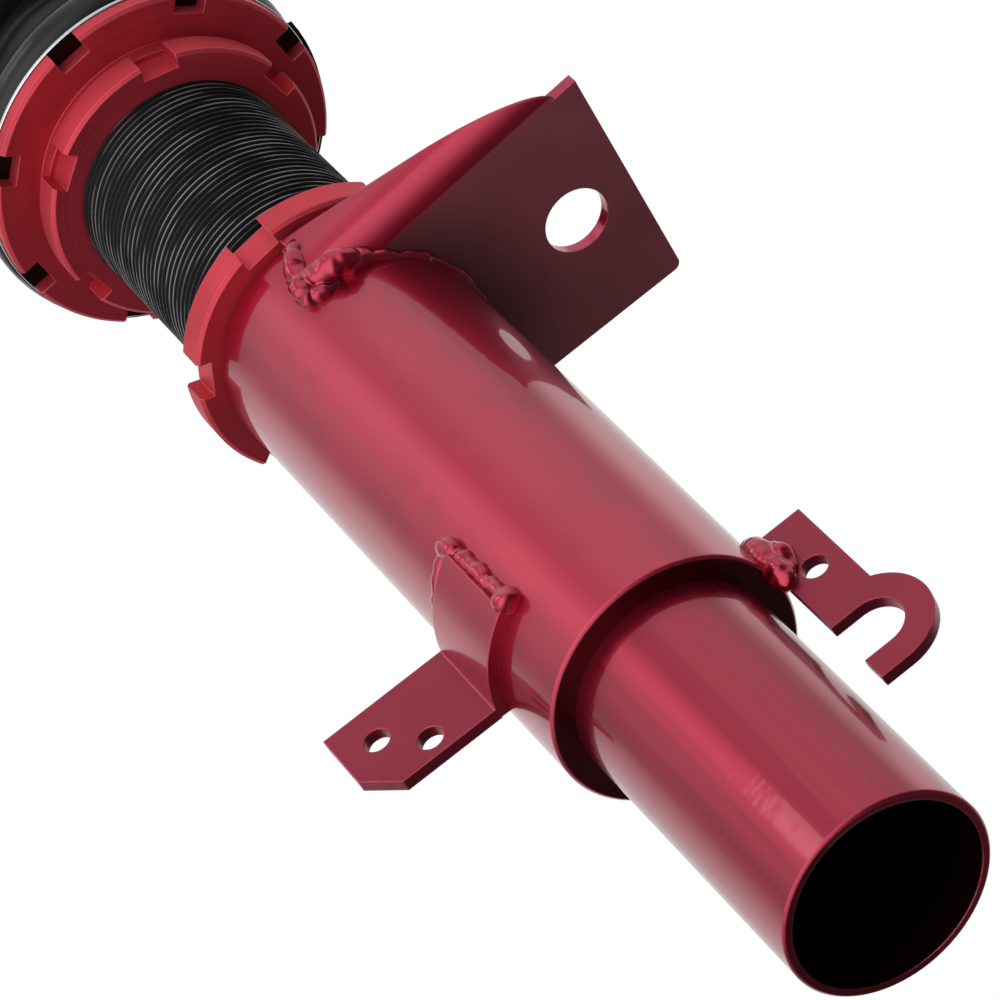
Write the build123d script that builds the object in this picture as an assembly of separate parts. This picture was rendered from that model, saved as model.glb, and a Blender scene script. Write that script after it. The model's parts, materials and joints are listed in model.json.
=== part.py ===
from build123d import *
from math import asin, cos, degrees, radians, sin, sqrt
import os

# Strut coilover. Millimetres, +Z up the strut, origin at the centre of the open lower
# end of the knuckle spigot, +X towards the link plate. At rest the damper is fully
# extended and every threaded ring is locked.

# Fits
RUN = 0.05                  # radial clearance of a shaft that slides or screws in a bore

# Knuckle bracket
SPIGOT_R = 23.25
SPIGOT_WALL = 2.0
SPIGOT_LENGTH = 80.0
SPIGOT_EDGE = 0.5
SPIGOT_SOCKET = 18.0        # how far the spigot goes up into the sleeve
SPIGOT_PILOT_R = 22.75      # turned down a little inside the sleeve
SLEEVE_R = 28.75
SLEEVE_TOP = 231.0
SLEEVE_FLOOR = 12.0
SLEEVE_END_EDGE = 0.6
EDGE = 0.8                  # chamfer on turned edges
SHEET = 3.0                 # thickness of the bent brackets

# Threads are modelled at their outer radius
THREAD_R = 26.5

# Link plate: a flat plate with its near edge folded up
PLATE_Z = 213.3
FOLD_YAW = 3.5
FOLD_OFFSET = 23.7
FLANGE_FACE = 31.8
FLANGE_LEFT = 5.5
FLANGE_HEIGHT_Z = 229.5
FLANGE_TAPER = 0.257
PLATE_CORNERS = [(FLANGE_LEFT, -40.0), (79.0, -40.0), (66.8, 41.5), (FLANGE_LEFT, 32.7)]
PLATE_CORNER_R = 2.0
SHEET_BLANK = 200.0         # size of the folded sheet before it is cut to its outline
LINK_HOLE_R = 7.9
LINK_HOLE_X = 55.8
LINK_HOLE_Y = 10.0

# Sensor lead bracket: a strap round the sleeve that turns out into a tab
ABS_LOW = 101.3
ABS_HIGH = 125.0
ABS_WELD_ANGLE = -119.0
ABS_END_ANGLE = -168.5
ABS_FOLD_X = -30.6
ABS_FOLD_Y = -9.0
ABS_FOLD_LAP = 0.6          # the tab reaches this far back into the strap
ABS_YAW = 9.3
ABS_REACH = 30.5
ABS_CHAMFER_X = 7.0
ABS_CHAMFER_Z = 7.9
ABS_HOLES = [(22.0, 115.6), (13.5, 106.5)]
CLIP_HOLE_R = 3.0

# Brake hose bracket: a plate in line with the strut that ends in a hook
HOSE_YAW = 8.6
HOSE_NEAR_Y = -1.5
HOSE_TOP = 91.0
HOSE_WIDTH = 13.4
HOOK_S = 7.1
HOOK_Z = 52.6
HOOK_SLOT_R = 6.3
HOOK_OUTER_R = 12.6
HOSE_HOLE_S = 7.0
HOSE_HOLE_Z = 75.2
HOSE_PLATE_EDGE = 0.25      # the plate starts this far along its run, inside the sleeve

# Locking rings
RING_R = 34.5
RING_HEIGHT = 8.0
RING_NOTCHES = 6
RING_NOTCH_WIDTH = 9.0
RING_NOTCH_FLOOR = 30.8
BRACKET_RING_ANGLE = -88.7
PERCH_RING_ANGLE = -64.5

# Spring perch
PERCH_Z = 316.5
PERCH_HUB_R = 32.0
PERCH_HUB_HEIGHT = 4.0
PERCH_R = 43.0
PERCH_FLANGE = 4.0
PERCH_NOTCHES = 8
PERCH_NOTCH_WIDTH = 7.8
PERCH_NOTCH_FLOOR = 38.2
PERCH_NOTCH_ANGLE = -88.0
PILOT_HEIGHT = 7.5
WASHER = 1.0
WASHER_PROUD = 0.4
WASHER_EDGE = 0.2

# Coil spring
WIRE_R = 6.0
COIL_R = 38.5
SPRING_LENGTH = 190.0
SPRING_TURNS = 6.5

# Damper body and what it holds
BODY_BOTTOM = 125.0
BODY_TOP = 366.0
BORE_R = 23.0
BASE_CAP = 12.0
O_RING_LOW = 4.0            # grooves of the base cap and of the floating piston
O_RING_HIGH = 7.0
O_RING_DEPTH = 2.0
GAS_VALVE_R = 4.0
GAS_VALVE_DROP = 7.0
GAS_VALVE_BORE = 1.2
FLOATER_BOTTOM = 165.0
FLOATER_HEIGHT = 16.0
FLOATER_CUP_R = 16.0
FLOATER_CUP = 6.0
FLOATER_SEAL = 4.0
GUIDE_BOTTOM = 341.0
GUIDE_HEIGHT = 14.0
SEAL_HEIGHT = 4.0
SEAL_EDGE = 0.6
WIPER_LIP = 1.5
GLAND_RIM = 3.0
GLAND_RIM_R = 26.0
GLAND_HOLES = 4
GLAND_HOLE_R = 2.0
GLAND_HOLE_DEPTH = 4.0
GLAND_HOLE_RADIUS = 19.0
BUSH_R = 13.0

# Rod and piston
ROD_R = 11.0
ROD_SHOULDER = 338.0
ROD_SPIGOT_R = 6.0
ROD_BORE_R = 2.6
NEEDLE_R = 2.0
SHIM = 1.5
SHIM_R = 14.0
PISTON_HEIGHT = 14.5
PISTON_GAP = 0.2            # metal of the piston stays clear of the bore, its band runs in it
PISTON_LAND = 3.0
BAND_DEPTH = 1.5
PISTON_PORTS = 6
PORT_R = 2.2
PORT_RADIUS = 17.5
PISTON_NUT_FLATS = 19.0
PISTON_NUT = 9.5
ROD_TIP = 308.0

# Top of the strut
BEARING_HEIGHT = 6.0
RACE_HEIGHT = 1.5
RACE_EDGE = 0.3
BEARING_IN = 33.0
BEARING_OUT = 44.0
BALL_COUNT = 28
CAGE_HALF = 0.8
CAGE_GAP = 0.15
BALL_R = BEARING_HEIGHT / 2 - RACE_HEIGHT
SEAT_R = 45.0
SEAT_DISC = 6.0
SEAT_HUB_R = 14.0
SEAT_HUB_HEIGHT = 21.0
SEAT_CONE_R = 26.0          # foot of the cone between the disc and the hub
SEAT_NECK = 4.0
SEAT_PILOT_GAP = 0.5
BOOT_GAP = 0.3
SEAT_PILOT = 5.0            # how far the pilot goes down into the spring
STEP_DOWN = 2.5             # the rod's upper shoulder, below the seat's disc
TOP_SPIGOT_R = 7.0
BUMP_LENGTH = 46.0
BUMP_R = 20.0
BUMP_WAIST = 3.0
BUMP_RAMP = 4.0
SOFT_GAP = 0.4              # rubber and foam stay this far off the rod
BUMP_DROP = 1.5             # thickness of the boot flange above the bump stop
BOOT_LENGTH = 166.0
BOOT_IN = 27.3
BOOT_OUT = 30.0
BOOT_PITCH = 8.0
BOOT_WALL = 0.9
BOOT_HEM = 2.0              # plain lip under the lowest fold
PILLOW_R = 12.0
PILLOW_HALF = 8.0
PILLOW_GAP = 0.1
RACE_HALF = 7.0
SPACER_R = 8.5
LOWER_SPACER = 4.0
UPPER_SPACER = 7.0
ROD_NUT_HEIGHT = 11.0
ROD_NUT_FLATS = 22.0
ROD_PROUD = 6.0             # rod end above its nut
KNOB_GAP = 0.5
KNOB_R = 9.5
KNOB_HEIGHT = 17.0
KNOB_FLUTES = 18
KNOB_EDGE = 1.5
FLUTE_R = 0.9
FLUTE_START = 1.5           # plain foot of the knob below its flutes

# Camber plate
BLOCK_X = 76.0
BLOCK_Y = 60.0
BLOCK_CORNER = 8.0
RACE_R = 17.5
CLIP = 1.2
CLIP_WIDTH = 3.0
CLIP_GAP = 7.0
BLOCK_OPENING_R = 13.5
CLAMP_DEPTH = 11.0
CLAMP_HEAD_R = 5.0
CLAMP_HEAD = 6.0
CLAMP_SOCKET = 5.0          # hexagon key size
CLAMP_WASHER_R = 6.5
CLAMP_WASHER = 1.5
CLAMP_X = 28.0
CLAMP_Y = 22.0
CLAMP_SCREW_R = 3.0
CLAMP_TRAVEL = 10.0
PLATE_R = 72.0
PLATE_HEIGHT = 8.0
PLATE_EDGE = 1.2
WINDOW_R = 9.0
WINDOW_RADIUS = 54.0
ROD_OPENING = 28.0          # width of the slot the rod nut moves in
ROD_OPENING_CORNER = 6.0
SLOT_GAP = 0.4
STUD_R = 4.0
STUD_SHANK_R = 4.6          # knurled shank pressed into the plate
STUD_PCD = 124.0
STUD_HEAD_R = 6.5
STUD_HEAD = 3.0
STUD_COUNT = 3
STUD_LENGTH = 24.0

# Heights that follow from the sizes above
PERCH_TOP = PERCH_Z + PERCH_HUB_HEIGHT + PERCH_FLANGE
SPRING_Z = PERCH_TOP + WASHER
SPRING_TOP = SPRING_Z + SPRING_LENGTH
SEAT_Z = SPRING_TOP + BEARING_HEIGHT
TOP_SHOULDER = SEAT_Z - STEP_DOWN
HUB_TOP = TOP_SHOULDER + SEAT_HUB_HEIGHT
PILLOW_Z = HUB_TOP + LOWER_SPACER + PILLOW_HALF
BLOCK_TOP = PILLOW_Z + PILLOW_HALF + CLIP
BLOCK_BOTTOM = PILLOW_Z - PILLOW_HALF - CLIP
MOUNT_TOP = BLOCK_TOP + PLATE_HEIGHT
NUT_Z = PILLOW_Z + PILLOW_HALF + UPPER_SPACER
ROD_END = NUT_Z + ROD_NUT_HEIGHT + ROD_PROUD
KNOB_Z = ROD_END + KNOB_GAP


def turned(points):
    """A solid of revolution about Z from (radius, height) points."""
    outline = make_face(Polyline(*points, close=True))
    return revolve(Plane.XZ * outline, Axis.Z)


def tube(r_out, r_in, low, high, edge=0.0):
    """A ring with an optional chamfer on its two outer edges."""
    if edge == 0.0:
        return turned([(r_in, low), (r_out, low), (r_out, high), (r_in, high)])
    corner = r_out - edge
    return turned([
        (r_in, low), (corner, low), (r_out, low + edge),
        (r_out, high - edge), (corner, high), (r_in, high),
    ])


def rod_piece(radius, low, high):
    """A plain round bar along Z."""
    return Pos(0, 0, (low + high) / 2) * Cylinder(radius, high - low)


def notched(solid, count, start, width, floor_r, low, high):
    """Cuts square spanner notches into the rim of a turned part."""
    depth = floor_r
    cutter = Pos(floor_r + depth / 2, 0, (low + high) / 2) * Box(depth, width, high - low + 2)
    for index in range(count):
        solid -= Rot(0, 0, start + index * 360 / count) * cutter
    return solid


def polar(radius, angle):
    """A point on a circle about the origin."""
    return (radius * cos(radians(angle)), radius * sin(radians(angle)))


def hexagon(flats, low, high):
    """A hexagonal prism along Z, by its size across flats."""
    outline = RegularPolygon(flats / 2, 6, major_radius=False)
    return Pos(0, 0, low) * extrude(outline, high - low)


def standing_plate(outline, x, y, yaw, thickness):
    """A plate that stands on edge: its (s, z) outline starts at (x, y) and runs at yaw degrees."""
    run = Vector(cos(radians(yaw)), sin(radians(yaw)), 0)
    back = Vector(-sin(radians(yaw)), cos(radians(yaw)), 0)
    plane = Plane(origin=(x, y, 0), x_dir=run, z_dir=-back)
    return extrude(plane * outline, -thickness)


def at_corners(shape, x, y):
    """Four copies of a shape at the corners of a rectangle."""
    return [Pos(sx * x, sy * y, 0) * shape for sx in (-1, 1) for sy in (-1, 1)]


# Knuckle bracket

def spigot_tube():
    top = SPIGOT_LENGTH + SPIGOT_SOCKET
    bore = SPIGOT_R - SPIGOT_WALL
    corner = SPIGOT_PILOT_R - SPIGOT_EDGE
    return turned([
        (bore, 0), (SPIGOT_R - SPIGOT_EDGE, 0), (SPIGOT_R, SPIGOT_EDGE),
        (SPIGOT_R, SPIGOT_LENGTH), (SPIGOT_PILOT_R, SPIGOT_LENGTH),
        (SPIGOT_PILOT_R, top - SPIGOT_EDGE), (corner, top), (bore, top),
    ])


def bracket_sleeve():
    low = SPIGOT_LENGTH
    bore = THREAD_R + RUN
    floor = low + SLEEVE_FLOOR
    return turned([
        (SPIGOT_PILOT_R, low), (SLEEVE_R - SLEEVE_END_EDGE, low), (SLEEVE_R, low + SLEEVE_END_EDGE),
        (SLEEVE_R, SLEEVE_TOP - EDGE), (SLEEVE_R - EDGE, SLEEVE_TOP),
        (bore, SLEEVE_TOP), (bore, floor), (SPIGOT_PILOT_R, floor),
    ])


def link_plate():
    outer = FLANGE_FACE - FOLD_OFFSET
    inner = outer - SHEET
    far = SHEET_BLANK / 3
    high = FLANGE_HEIGHT_Z + outer
    bend_z = PLATE_Z + outer
    centre = (-FOLD_OFFSET, bend_z)
    near = -FLANGE_FACE
    section = make_face([
        Line((near, high), (near, bend_z)),
        CenterArc(centre, outer, 180, 90),
        Line((-FOLD_OFFSET, PLATE_Z), (far, PLATE_Z)),
        Line((far, PLATE_Z), (far, PLATE_Z + SHEET)),
        Line((far, PLATE_Z + SHEET), (-FOLD_OFFSET, PLATE_Z + SHEET)),
        CenterArc(centre, inner, 180, 90),
        Line((near + SHEET, bend_z), (near + SHEET, high)),
        Line((near + SHEET, high), (near, high)),
    ])
    sheet = Rot(0, 0, FOLD_YAW) * extrude(Plane.YZ * section, SHEET_BLANK / 2, both=True)
    outline = make_face(Polyline(*PLATE_CORNERS, close=True))
    outline = fillet(outline.vertices().sort_by(Axis.Y)[-2:], PLATE_CORNER_R)
    solid = sheet & (Pos(0, 0, PLATE_Z - 1) * extrude(outline, SHEET_BLANK / 2))
    run = SHEET_BLANK / 2
    left = FLANGE_LEFT - outer
    right = FLANGE_LEFT + run
    taper = make_face(Polyline(
        (left, FLANGE_HEIGHT_Z + FLANGE_TAPER * outer), (right, FLANGE_HEIGHT_Z - FLANGE_TAPER * run),
        (right, high + run), (left, high + run), close=True))
    solid -= Rot(0, 0, FOLD_YAW) * Pos(0, -FOLD_OFFSET, 0) * extrude(Plane.XZ * taper, run)
    solid -= rod_piece(SLEEVE_R, PLATE_Z - 1, high + 1)
    solid -= Pos(LINK_HOLE_X, LINK_HOLE_Y, PLATE_Z) * Cylinder(LINK_HOLE_R, 4 * SHEET)
    return solid


def abs_bracket():
    height = ABS_HIGH - ABS_LOW
    strap = make_face([
        CenterArc((0, 0), SLEEVE_R, ABS_WELD_ANGLE, ABS_END_ANGLE - ABS_WELD_ANGLE),
        CenterArc((0, 0), SLEEVE_R + SHEET, ABS_WELD_ANGLE, ABS_END_ANGLE - ABS_WELD_ANGLE),
        Line(polar(SLEEVE_R, ABS_WELD_ANGLE), polar(SLEEVE_R + SHEET, ABS_WELD_ANGLE)),
        Line(polar(SLEEVE_R, ABS_END_ANGLE), polar(SLEEVE_R + SHEET, ABS_END_ANGLE)),
    ])
    solid = Pos(0, 0, ABS_LOW) * extrude(strap, height)
    outline = make_face(Polyline(
        (-ABS_FOLD_LAP, ABS_LOW), (ABS_REACH - ABS_CHAMFER_X, ABS_LOW),
        (ABS_REACH, ABS_LOW + ABS_CHAMFER_Z), (ABS_REACH, ABS_HIGH), (-ABS_FOLD_LAP, ABS_HIGH),
        close=True))
    for s, z in ABS_HOLES:
        outline -= Pos(s, z) * Circle(CLIP_HOLE_R)
    tab = standing_plate(outline, ABS_FOLD_X, ABS_FOLD_Y, 180 + ABS_YAW, -SHEET)
    return solid + tab


def hose_hook_bracket():
    meet = sqrt(HOOK_OUTER_R ** 2 - (HOSE_WIDTH - HOOK_S) ** 2)
    rise = degrees(asin(meet / HOOK_OUTER_R))
    edge = HOSE_PLATE_EDGE
    slot_top = HOOK_Z + HOOK_SLOT_R
    slot_low = HOOK_Z - HOOK_SLOT_R
    hook_low = HOOK_Z - HOOK_OUTER_R
    outline = make_face([
        Line((edge, slot_top), (HOOK_S, slot_top)),
        CenterArc((HOOK_S, HOOK_Z), HOOK_SLOT_R, -90, 180),
        Line((HOOK_S, slot_low), (edge, slot_low)),
        Line((edge, slot_low), (edge, hook_low)),
        Line((edge, hook_low), (HOOK_S, hook_low)),
        CenterArc((HOOK_S, HOOK_Z), HOOK_OUTER_R, -90, 90 + rise),
        Line((HOSE_WIDTH, HOOK_Z + meet), (HOSE_WIDTH, HOSE_TOP)),
        Line((HOSE_WIDTH, HOSE_TOP), (edge, HOSE_TOP)),
        Line((edge, HOSE_TOP), (edge, slot_top)),
    ])
    outline -= Pos(HOSE_HOLE_S, HOSE_HOLE_Z) * Circle(CLIP_HOLE_R)
    solid = standing_plate(outline, SLEEVE_R, HOSE_NEAR_Y, HOSE_YAW, SHEET)
    return solid - rod_piece(SLEEVE_R, HOOK_Z - HOSE_TOP, SLEEVE_TOP)


# Threaded rings and the spring perch

def locking_ring(low, angle):
    ring = tube(RING_R, THREAD_R + RUN, low, low + RING_HEIGHT, edge=EDGE)
    return notched(ring, RING_NOTCHES, angle, RING_NOTCH_WIDTH, RING_NOTCH_FLOOR, low, low + RING_HEIGHT)


def spring_perch():
    flange_z = PERCH_Z + PERCH_HUB_HEIGHT
    pilot_top = PERCH_TOP + PILOT_HEIGHT
    solid = turned([
        (THREAD_R + RUN, PERCH_Z), (PERCH_HUB_R, PERCH_Z), (PERCH_HUB_R, flange_z),
        (PERCH_R - EDGE, flange_z), (PERCH_R, flange_z + EDGE), (PERCH_R, PERCH_TOP),
        (PERCH_HUB_R, PERCH_TOP), (PERCH_HUB_R, pilot_top - 1), (PERCH_HUB_R - 1, pilot_top),
        (THREAD_R + RUN, pilot_top),
    ])
    return notched(
        solid, PERCH_NOTCHES, PERCH_NOTCH_ANGLE, PERCH_NOTCH_WIDTH, PERCH_NOTCH_FLOOR,
        flange_z, PERCH_TOP)


def coil_spring():
    pitch = SPRING_LENGTH / SPRING_TURNS
    path = Helix(pitch, SPRING_LENGTH, COIL_R)
    section = Plane(origin=path @ 0, z_dir=path % 0) * Circle(WIRE_R)
    wire = Pos(0, 0, SPRING_Z) * sweep(section, path=path, is_frenet=True)
    keep = tube(COIL_R + WIRE_R + 5, COIL_R - WIRE_R - 5, SPRING_Z, SPRING_TOP)
    return wire & keep


# Damper body

def rod_guide():
    return tube(BORE_R, BUSH_R, GUIDE_BOTTOM, GUIDE_BOTTOM + GUIDE_HEIGHT)


def gland_nut():
    low = GUIDE_BOTTOM + GUIDE_HEIGHT + SEAL_HEIGHT
    solid = turned([
        (BUSH_R, low), (BORE_R, low), (BORE_R, BODY_TOP), (GLAND_RIM_R, BODY_TOP),
        (GLAND_RIM_R, BODY_TOP + GLAND_RIM - EDGE), (GLAND_RIM_R - EDGE, BODY_TOP + GLAND_RIM),
        (BUSH_R, BODY_TOP + GLAND_RIM),
    ])
    for index in range(GLAND_HOLES):
        hole = Pos(GLAND_HOLE_RADIUS, 0, BODY_TOP + GLAND_RIM) * Cylinder(GLAND_HOLE_R, 2 * GLAND_HOLE_DEPTH)
        solid -= Rot(0, 0, index * 360 / GLAND_HOLES) * hole
    return solid


def base_cap():
    low = BODY_BOTTOM
    groove_r = BORE_R - O_RING_DEPTH
    groove_low = low + O_RING_LOW
    groove_high = low + O_RING_HIGH
    return turned([
        (GAS_VALVE_R, low), (BORE_R, low), (BORE_R, groove_low), (groove_r, groove_low),
        (groove_r, groove_high), (BORE_R, groove_high), (BORE_R, low + BASE_CAP),
        (GAS_VALVE_R, low + BASE_CAP),
    ])


def gas_valve():
    low = BODY_BOTTOM - GAS_VALVE_DROP
    return tube(GAS_VALVE_R, GAS_VALVE_BORE, low, BODY_BOTTOM + BASE_CAP, edge=0.5)


def floating_piston():
    low = FLOATER_BOTTOM
    high = low + FLOATER_HEIGHT
    rim = BORE_R - RUN
    groove_r = BORE_R - O_RING_DEPTH
    cup = low + FLOATER_CUP
    seal_high = cup + FLOATER_SEAL
    return turned([
        (0, cup), (FLOATER_CUP_R, cup), (FLOATER_CUP_R, low), (rim, low), (rim, cup), (groove_r, cup),
        (groove_r, seal_high), (rim, seal_high), (rim, high), (0, high),
    ])


def piston():
    low = ROD_SHOULDER - SHIM - PISTON_HEIGHT
    high = low + PISTON_HEIGHT
    rim = BORE_R - PISTON_GAP
    groove_r = BORE_R - BAND_DEPTH
    solid = turned([
        (ROD_SPIGOT_R, low), (rim, low), (rim, low + PISTON_LAND), (groove_r, low + PISTON_LAND),
        (groove_r, high - PISTON_LAND), (rim, high - PISTON_LAND), (rim, high), (ROD_SPIGOT_R, high),
    ])
    for index in range(PISTON_PORTS):
        port = Pos(PORT_RADIUS, 0, (low + high) / 2) * Cylinder(PORT_R, PISTON_HEIGHT + 2)
        solid -= Rot(0, 0, index * 360 / PISTON_PORTS) * port
    return solid


def piston_rod():
    return turned([
        (ROD_BORE_R, ROD_TIP), (ROD_SPIGOT_R - 0.5, ROD_TIP), (ROD_SPIGOT_R, ROD_TIP + 0.5),
        (ROD_SPIGOT_R, ROD_SHOULDER), (ROD_R, ROD_SHOULDER), (ROD_R, TOP_SHOULDER),
        (TOP_SPIGOT_R, TOP_SHOULDER), (TOP_SPIGOT_R, ROD_END - 1), (TOP_SPIGOT_R - 1, ROD_END),
        (ROD_BORE_R, ROD_END),
    ])


def bump_stop():
    high = TOP_SHOULDER - BUMP_DROP
    low = high - BUMP_LENGTH
    third = BUMP_LENGTH / 3
    bore = ROD_R + SOFT_GAP
    nose = BUMP_R - BUMP_WAIST
    waist = nose - BUMP_WAIST
    return turned([
        (bore, low), (waist, low), (nose, low + BUMP_RAMP), (nose, low + third - BUMP_RAMP),
        (waist, low + third), (BUMP_R, low + third + BUMP_RAMP), (BUMP_R, low + 2 * third - BUMP_RAMP),
        (nose, low + 2 * third), (BUMP_R, low + 2 * third + BUMP_RAMP), (BUMP_R, high), (bore, high),
    ])


def dust_boot():
    high = TOP_SHOULDER
    start = high - BOOT_LENGTH + BOOT_HEM
    folds = int((high - BUMP_DROP - start) / BOOT_PITCH)
    outside = []
    inside = []
    for index in range(folds):
        z = start + index * BOOT_PITCH
        outside += [(BOOT_IN + BOOT_WALL, z), (BOOT_OUT, z + BOOT_PITCH / 2)]
        inside += [(BOOT_IN, z), (BOOT_OUT - BOOT_WALL, z + BOOT_PITCH / 2)]
    top_z = start + folds * BOOT_PITCH
    outside += [(BOOT_IN + BOOT_WALL, top_z), (BOOT_OUT - BOOT_WALL / 2, high)]
    inside += [(BOOT_IN, top_z), (BOOT_IN, high - BUMP_DROP)]
    flange = [(ROD_R + SOFT_GAP, high), (ROD_R + SOFT_GAP, high - BUMP_DROP)]
    return turned(outside + flange + inside[::-1])


# Top of the strut

def upper_spring_seat():
    pilot_low = SPRING_TOP - SEAT_PILOT
    pilot_r = COIL_R - WIRE_R - SEAT_PILOT_GAP
    pilot_in = BOOT_OUT + BOOT_GAP
    return turned([
        (TOP_SPIGOT_R, TOP_SHOULDER), (pilot_in, TOP_SHOULDER), (pilot_in, pilot_low),
        (pilot_r - EDGE, pilot_low), (pilot_r, pilot_low + EDGE), (pilot_r, SEAT_Z),
        (SEAT_R - EDGE, SEAT_Z), (SEAT_R, SEAT_Z + EDGE), (SEAT_R, SEAT_Z + SEAT_DISC - EDGE),
        (SEAT_R - EDGE, SEAT_Z + SEAT_DISC), (SEAT_CONE_R, SEAT_Z + SEAT_DISC),
        (SEAT_HUB_R, HUB_TOP - SEAT_NECK),
        (SEAT_HUB_R, HUB_TOP), (TOP_SPIGOT_R, HUB_TOP),
    ])


def bearing_balls():
    middle = SPRING_TOP + BEARING_HEIGHT / 2
    balls = []
    for index in range(BALL_COUNT):
        place = Rot(0, 0, index * 360 / BALL_COUNT) * Pos(COIL_R, 0, middle)
        balls.append(place * Sphere(BALL_R))
    return Compound(balls)


def bearing_cage():
    middle = SPRING_TOP + BEARING_HEIGHT / 2
    cage = tube(BEARING_OUT - 1, BEARING_IN + 1, middle - CAGE_HALF, middle + CAGE_HALF)
    for index in range(BALL_COUNT):
        pocket = Pos(COIL_R, 0, middle) * Cylinder(BALL_R + CAGE_GAP, BEARING_HEIGHT)
        cage -= Rot(0, 0, index * 360 / BALL_COUNT) * pocket
    return cage


def pillow_ball():
    ball = Pos(0, 0, PILLOW_Z) * Sphere(PILLOW_R)
    band = tube(PILLOW_R + 1, TOP_SPIGOT_R, PILLOW_Z - PILLOW_HALF, PILLOW_Z + PILLOW_HALF)
    return ball & band


def pillow_race():
    ring = tube(RACE_R, TOP_SPIGOT_R, PILLOW_Z - RACE_HALF, PILLOW_Z + RACE_HALF)
    return ring - Pos(0, 0, PILLOW_Z) * Sphere(PILLOW_R + PILLOW_GAP)


def rod_nut():
    solid = hexagon(ROD_NUT_FLATS, NUT_Z, NUT_Z + ROD_NUT_HEIGHT)
    return solid - rod_piece(TOP_SPIGOT_R, NUT_Z - 1, NUT_Z + ROD_NUT_HEIGHT + 1)


def adjuster_knob():
    high = KNOB_Z + KNOB_HEIGHT
    solid = turned([
        (0, KNOB_Z), (KNOB_R - KNOB_EDGE, KNOB_Z), (KNOB_R, KNOB_Z + KNOB_EDGE),
        (KNOB_R, high - KNOB_EDGE), (KNOB_R - KNOB_EDGE, high), (0, high),
    ])
    for index in range(KNOB_FLUTES):
        middle = KNOB_Z + FLUTE_START + KNOB_HEIGHT / 2
        flute = Pos(KNOB_R + FLUTE_R / 3, 0, middle) * Cylinder(FLUTE_R, KNOB_HEIGHT)
        solid -= Rot(0, 0, index * 360 / KNOB_FLUTES) * flute
    return solid


# Camber plate

def camber_block():
    outline = RectangleRounded(BLOCK_X, BLOCK_Y, BLOCK_CORNER)
    solid = Pos(0, 0, BLOCK_BOTTOM) * extrude(outline, BLOCK_TOP - BLOCK_BOTTOM)
    seat_low = PILLOW_Z - RACE_HALF
    solid -= rod_piece(RACE_R, seat_low, BLOCK_TOP + 1)
    solid -= rod_piece(BLOCK_OPENING_R, BLOCK_BOTTOM - 1, seat_low + 1)
    hole = rod_piece(CLAMP_SCREW_R, BLOCK_TOP - CLAMP_DEPTH - 1, BLOCK_TOP + 1)
    for cutter in at_corners(hole, CLAMP_X, CLAMP_Y):
        solid -= cutter
    return solid


def race_clip():
    low = PILLOW_Z + RACE_HALF
    ring = tube(RACE_R, RACE_R - CLIP_WIDTH, low, low + CLIP)
    gap = Pos(RACE_R, 0, low) * Box(3 * CLIP_WIDTH, CLIP_GAP, 3 * CLIP)
    return ring - gap


def clamp_screws():
    head_low = MOUNT_TOP + CLAMP_WASHER
    head_high = head_low + CLAMP_HEAD
    head = rod_piece(CLAMP_HEAD_R, head_low, head_high)
    head -= hexagon(CLAMP_SOCKET, head_low + CLAMP_HEAD / 2, head_high + 1)
    screw = head + rod_piece(CLAMP_SCREW_R, BLOCK_TOP - CLAMP_DEPTH, head_low)
    return Compound(at_corners(screw, CLAMP_X, CLAMP_Y))


def clamp_washers():
    washer = tube(CLAMP_WASHER_R, CLAMP_SCREW_R, MOUNT_TOP, MOUNT_TOP + CLAMP_WASHER)
    return Compound(at_corners(washer, CLAMP_X, CLAMP_Y))


def top_plate():
    solid = tube(PLATE_R, 1.0, BLOCK_TOP, MOUNT_TOP, edge=PLATE_EDGE)
    middle = (BLOCK_TOP + MOUNT_TOP) / 2
    depth = PLATE_HEIGHT + 2
    opening = RectangleRounded(ROD_OPENING + 2 * CLAMP_TRAVEL, ROD_OPENING, ROD_OPENING_CORNER)
    solid -= Pos(0, 0, BLOCK_TOP - 1) * extrude(opening, depth)
    slot_width = 2 * (CLAMP_SCREW_R + SLOT_GAP)
    slot = SlotOverall(2 * CLAMP_TRAVEL + slot_width, slot_width)
    slot_cut = Pos(0, 0, BLOCK_TOP - 1) * extrude(slot, depth)
    for cutter in at_corners(slot_cut, CLAMP_X, CLAMP_Y):
        solid -= cutter
    for index in range(STUD_COUNT):
        hole = Pos(STUD_PCD / 2, 0, middle) * Cylinder(STUD_SHANK_R, depth)
        solid -= Rot(0, 0, 90 + index * 360 / STUD_COUNT) * hole
        window = Pos(WINDOW_RADIUS, 0, middle) * Cylinder(WINDOW_R, depth)
        solid -= Rot(0, 0, -90 + index * 360 / STUD_COUNT) * window
    return solid


def mounting_studs():
    stud = rod_piece(STUD_R, MOUNT_TOP, MOUNT_TOP + STUD_LENGTH)
    shank = rod_piece(STUD_SHANK_R, BLOCK_TOP, MOUNT_TOP)
    head = rod_piece(STUD_HEAD_R, BLOCK_TOP - STUD_HEAD, BLOCK_TOP)
    piece = Pos(STUD_PCD / 2, 0, 0) * (stud + shank + head)
    turns = [90 + index * 360 / STUD_COUNT for index in range(STUD_COUNT)]
    return Compound([Rot(0, 0, turn) * piece for turn in turns])


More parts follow.
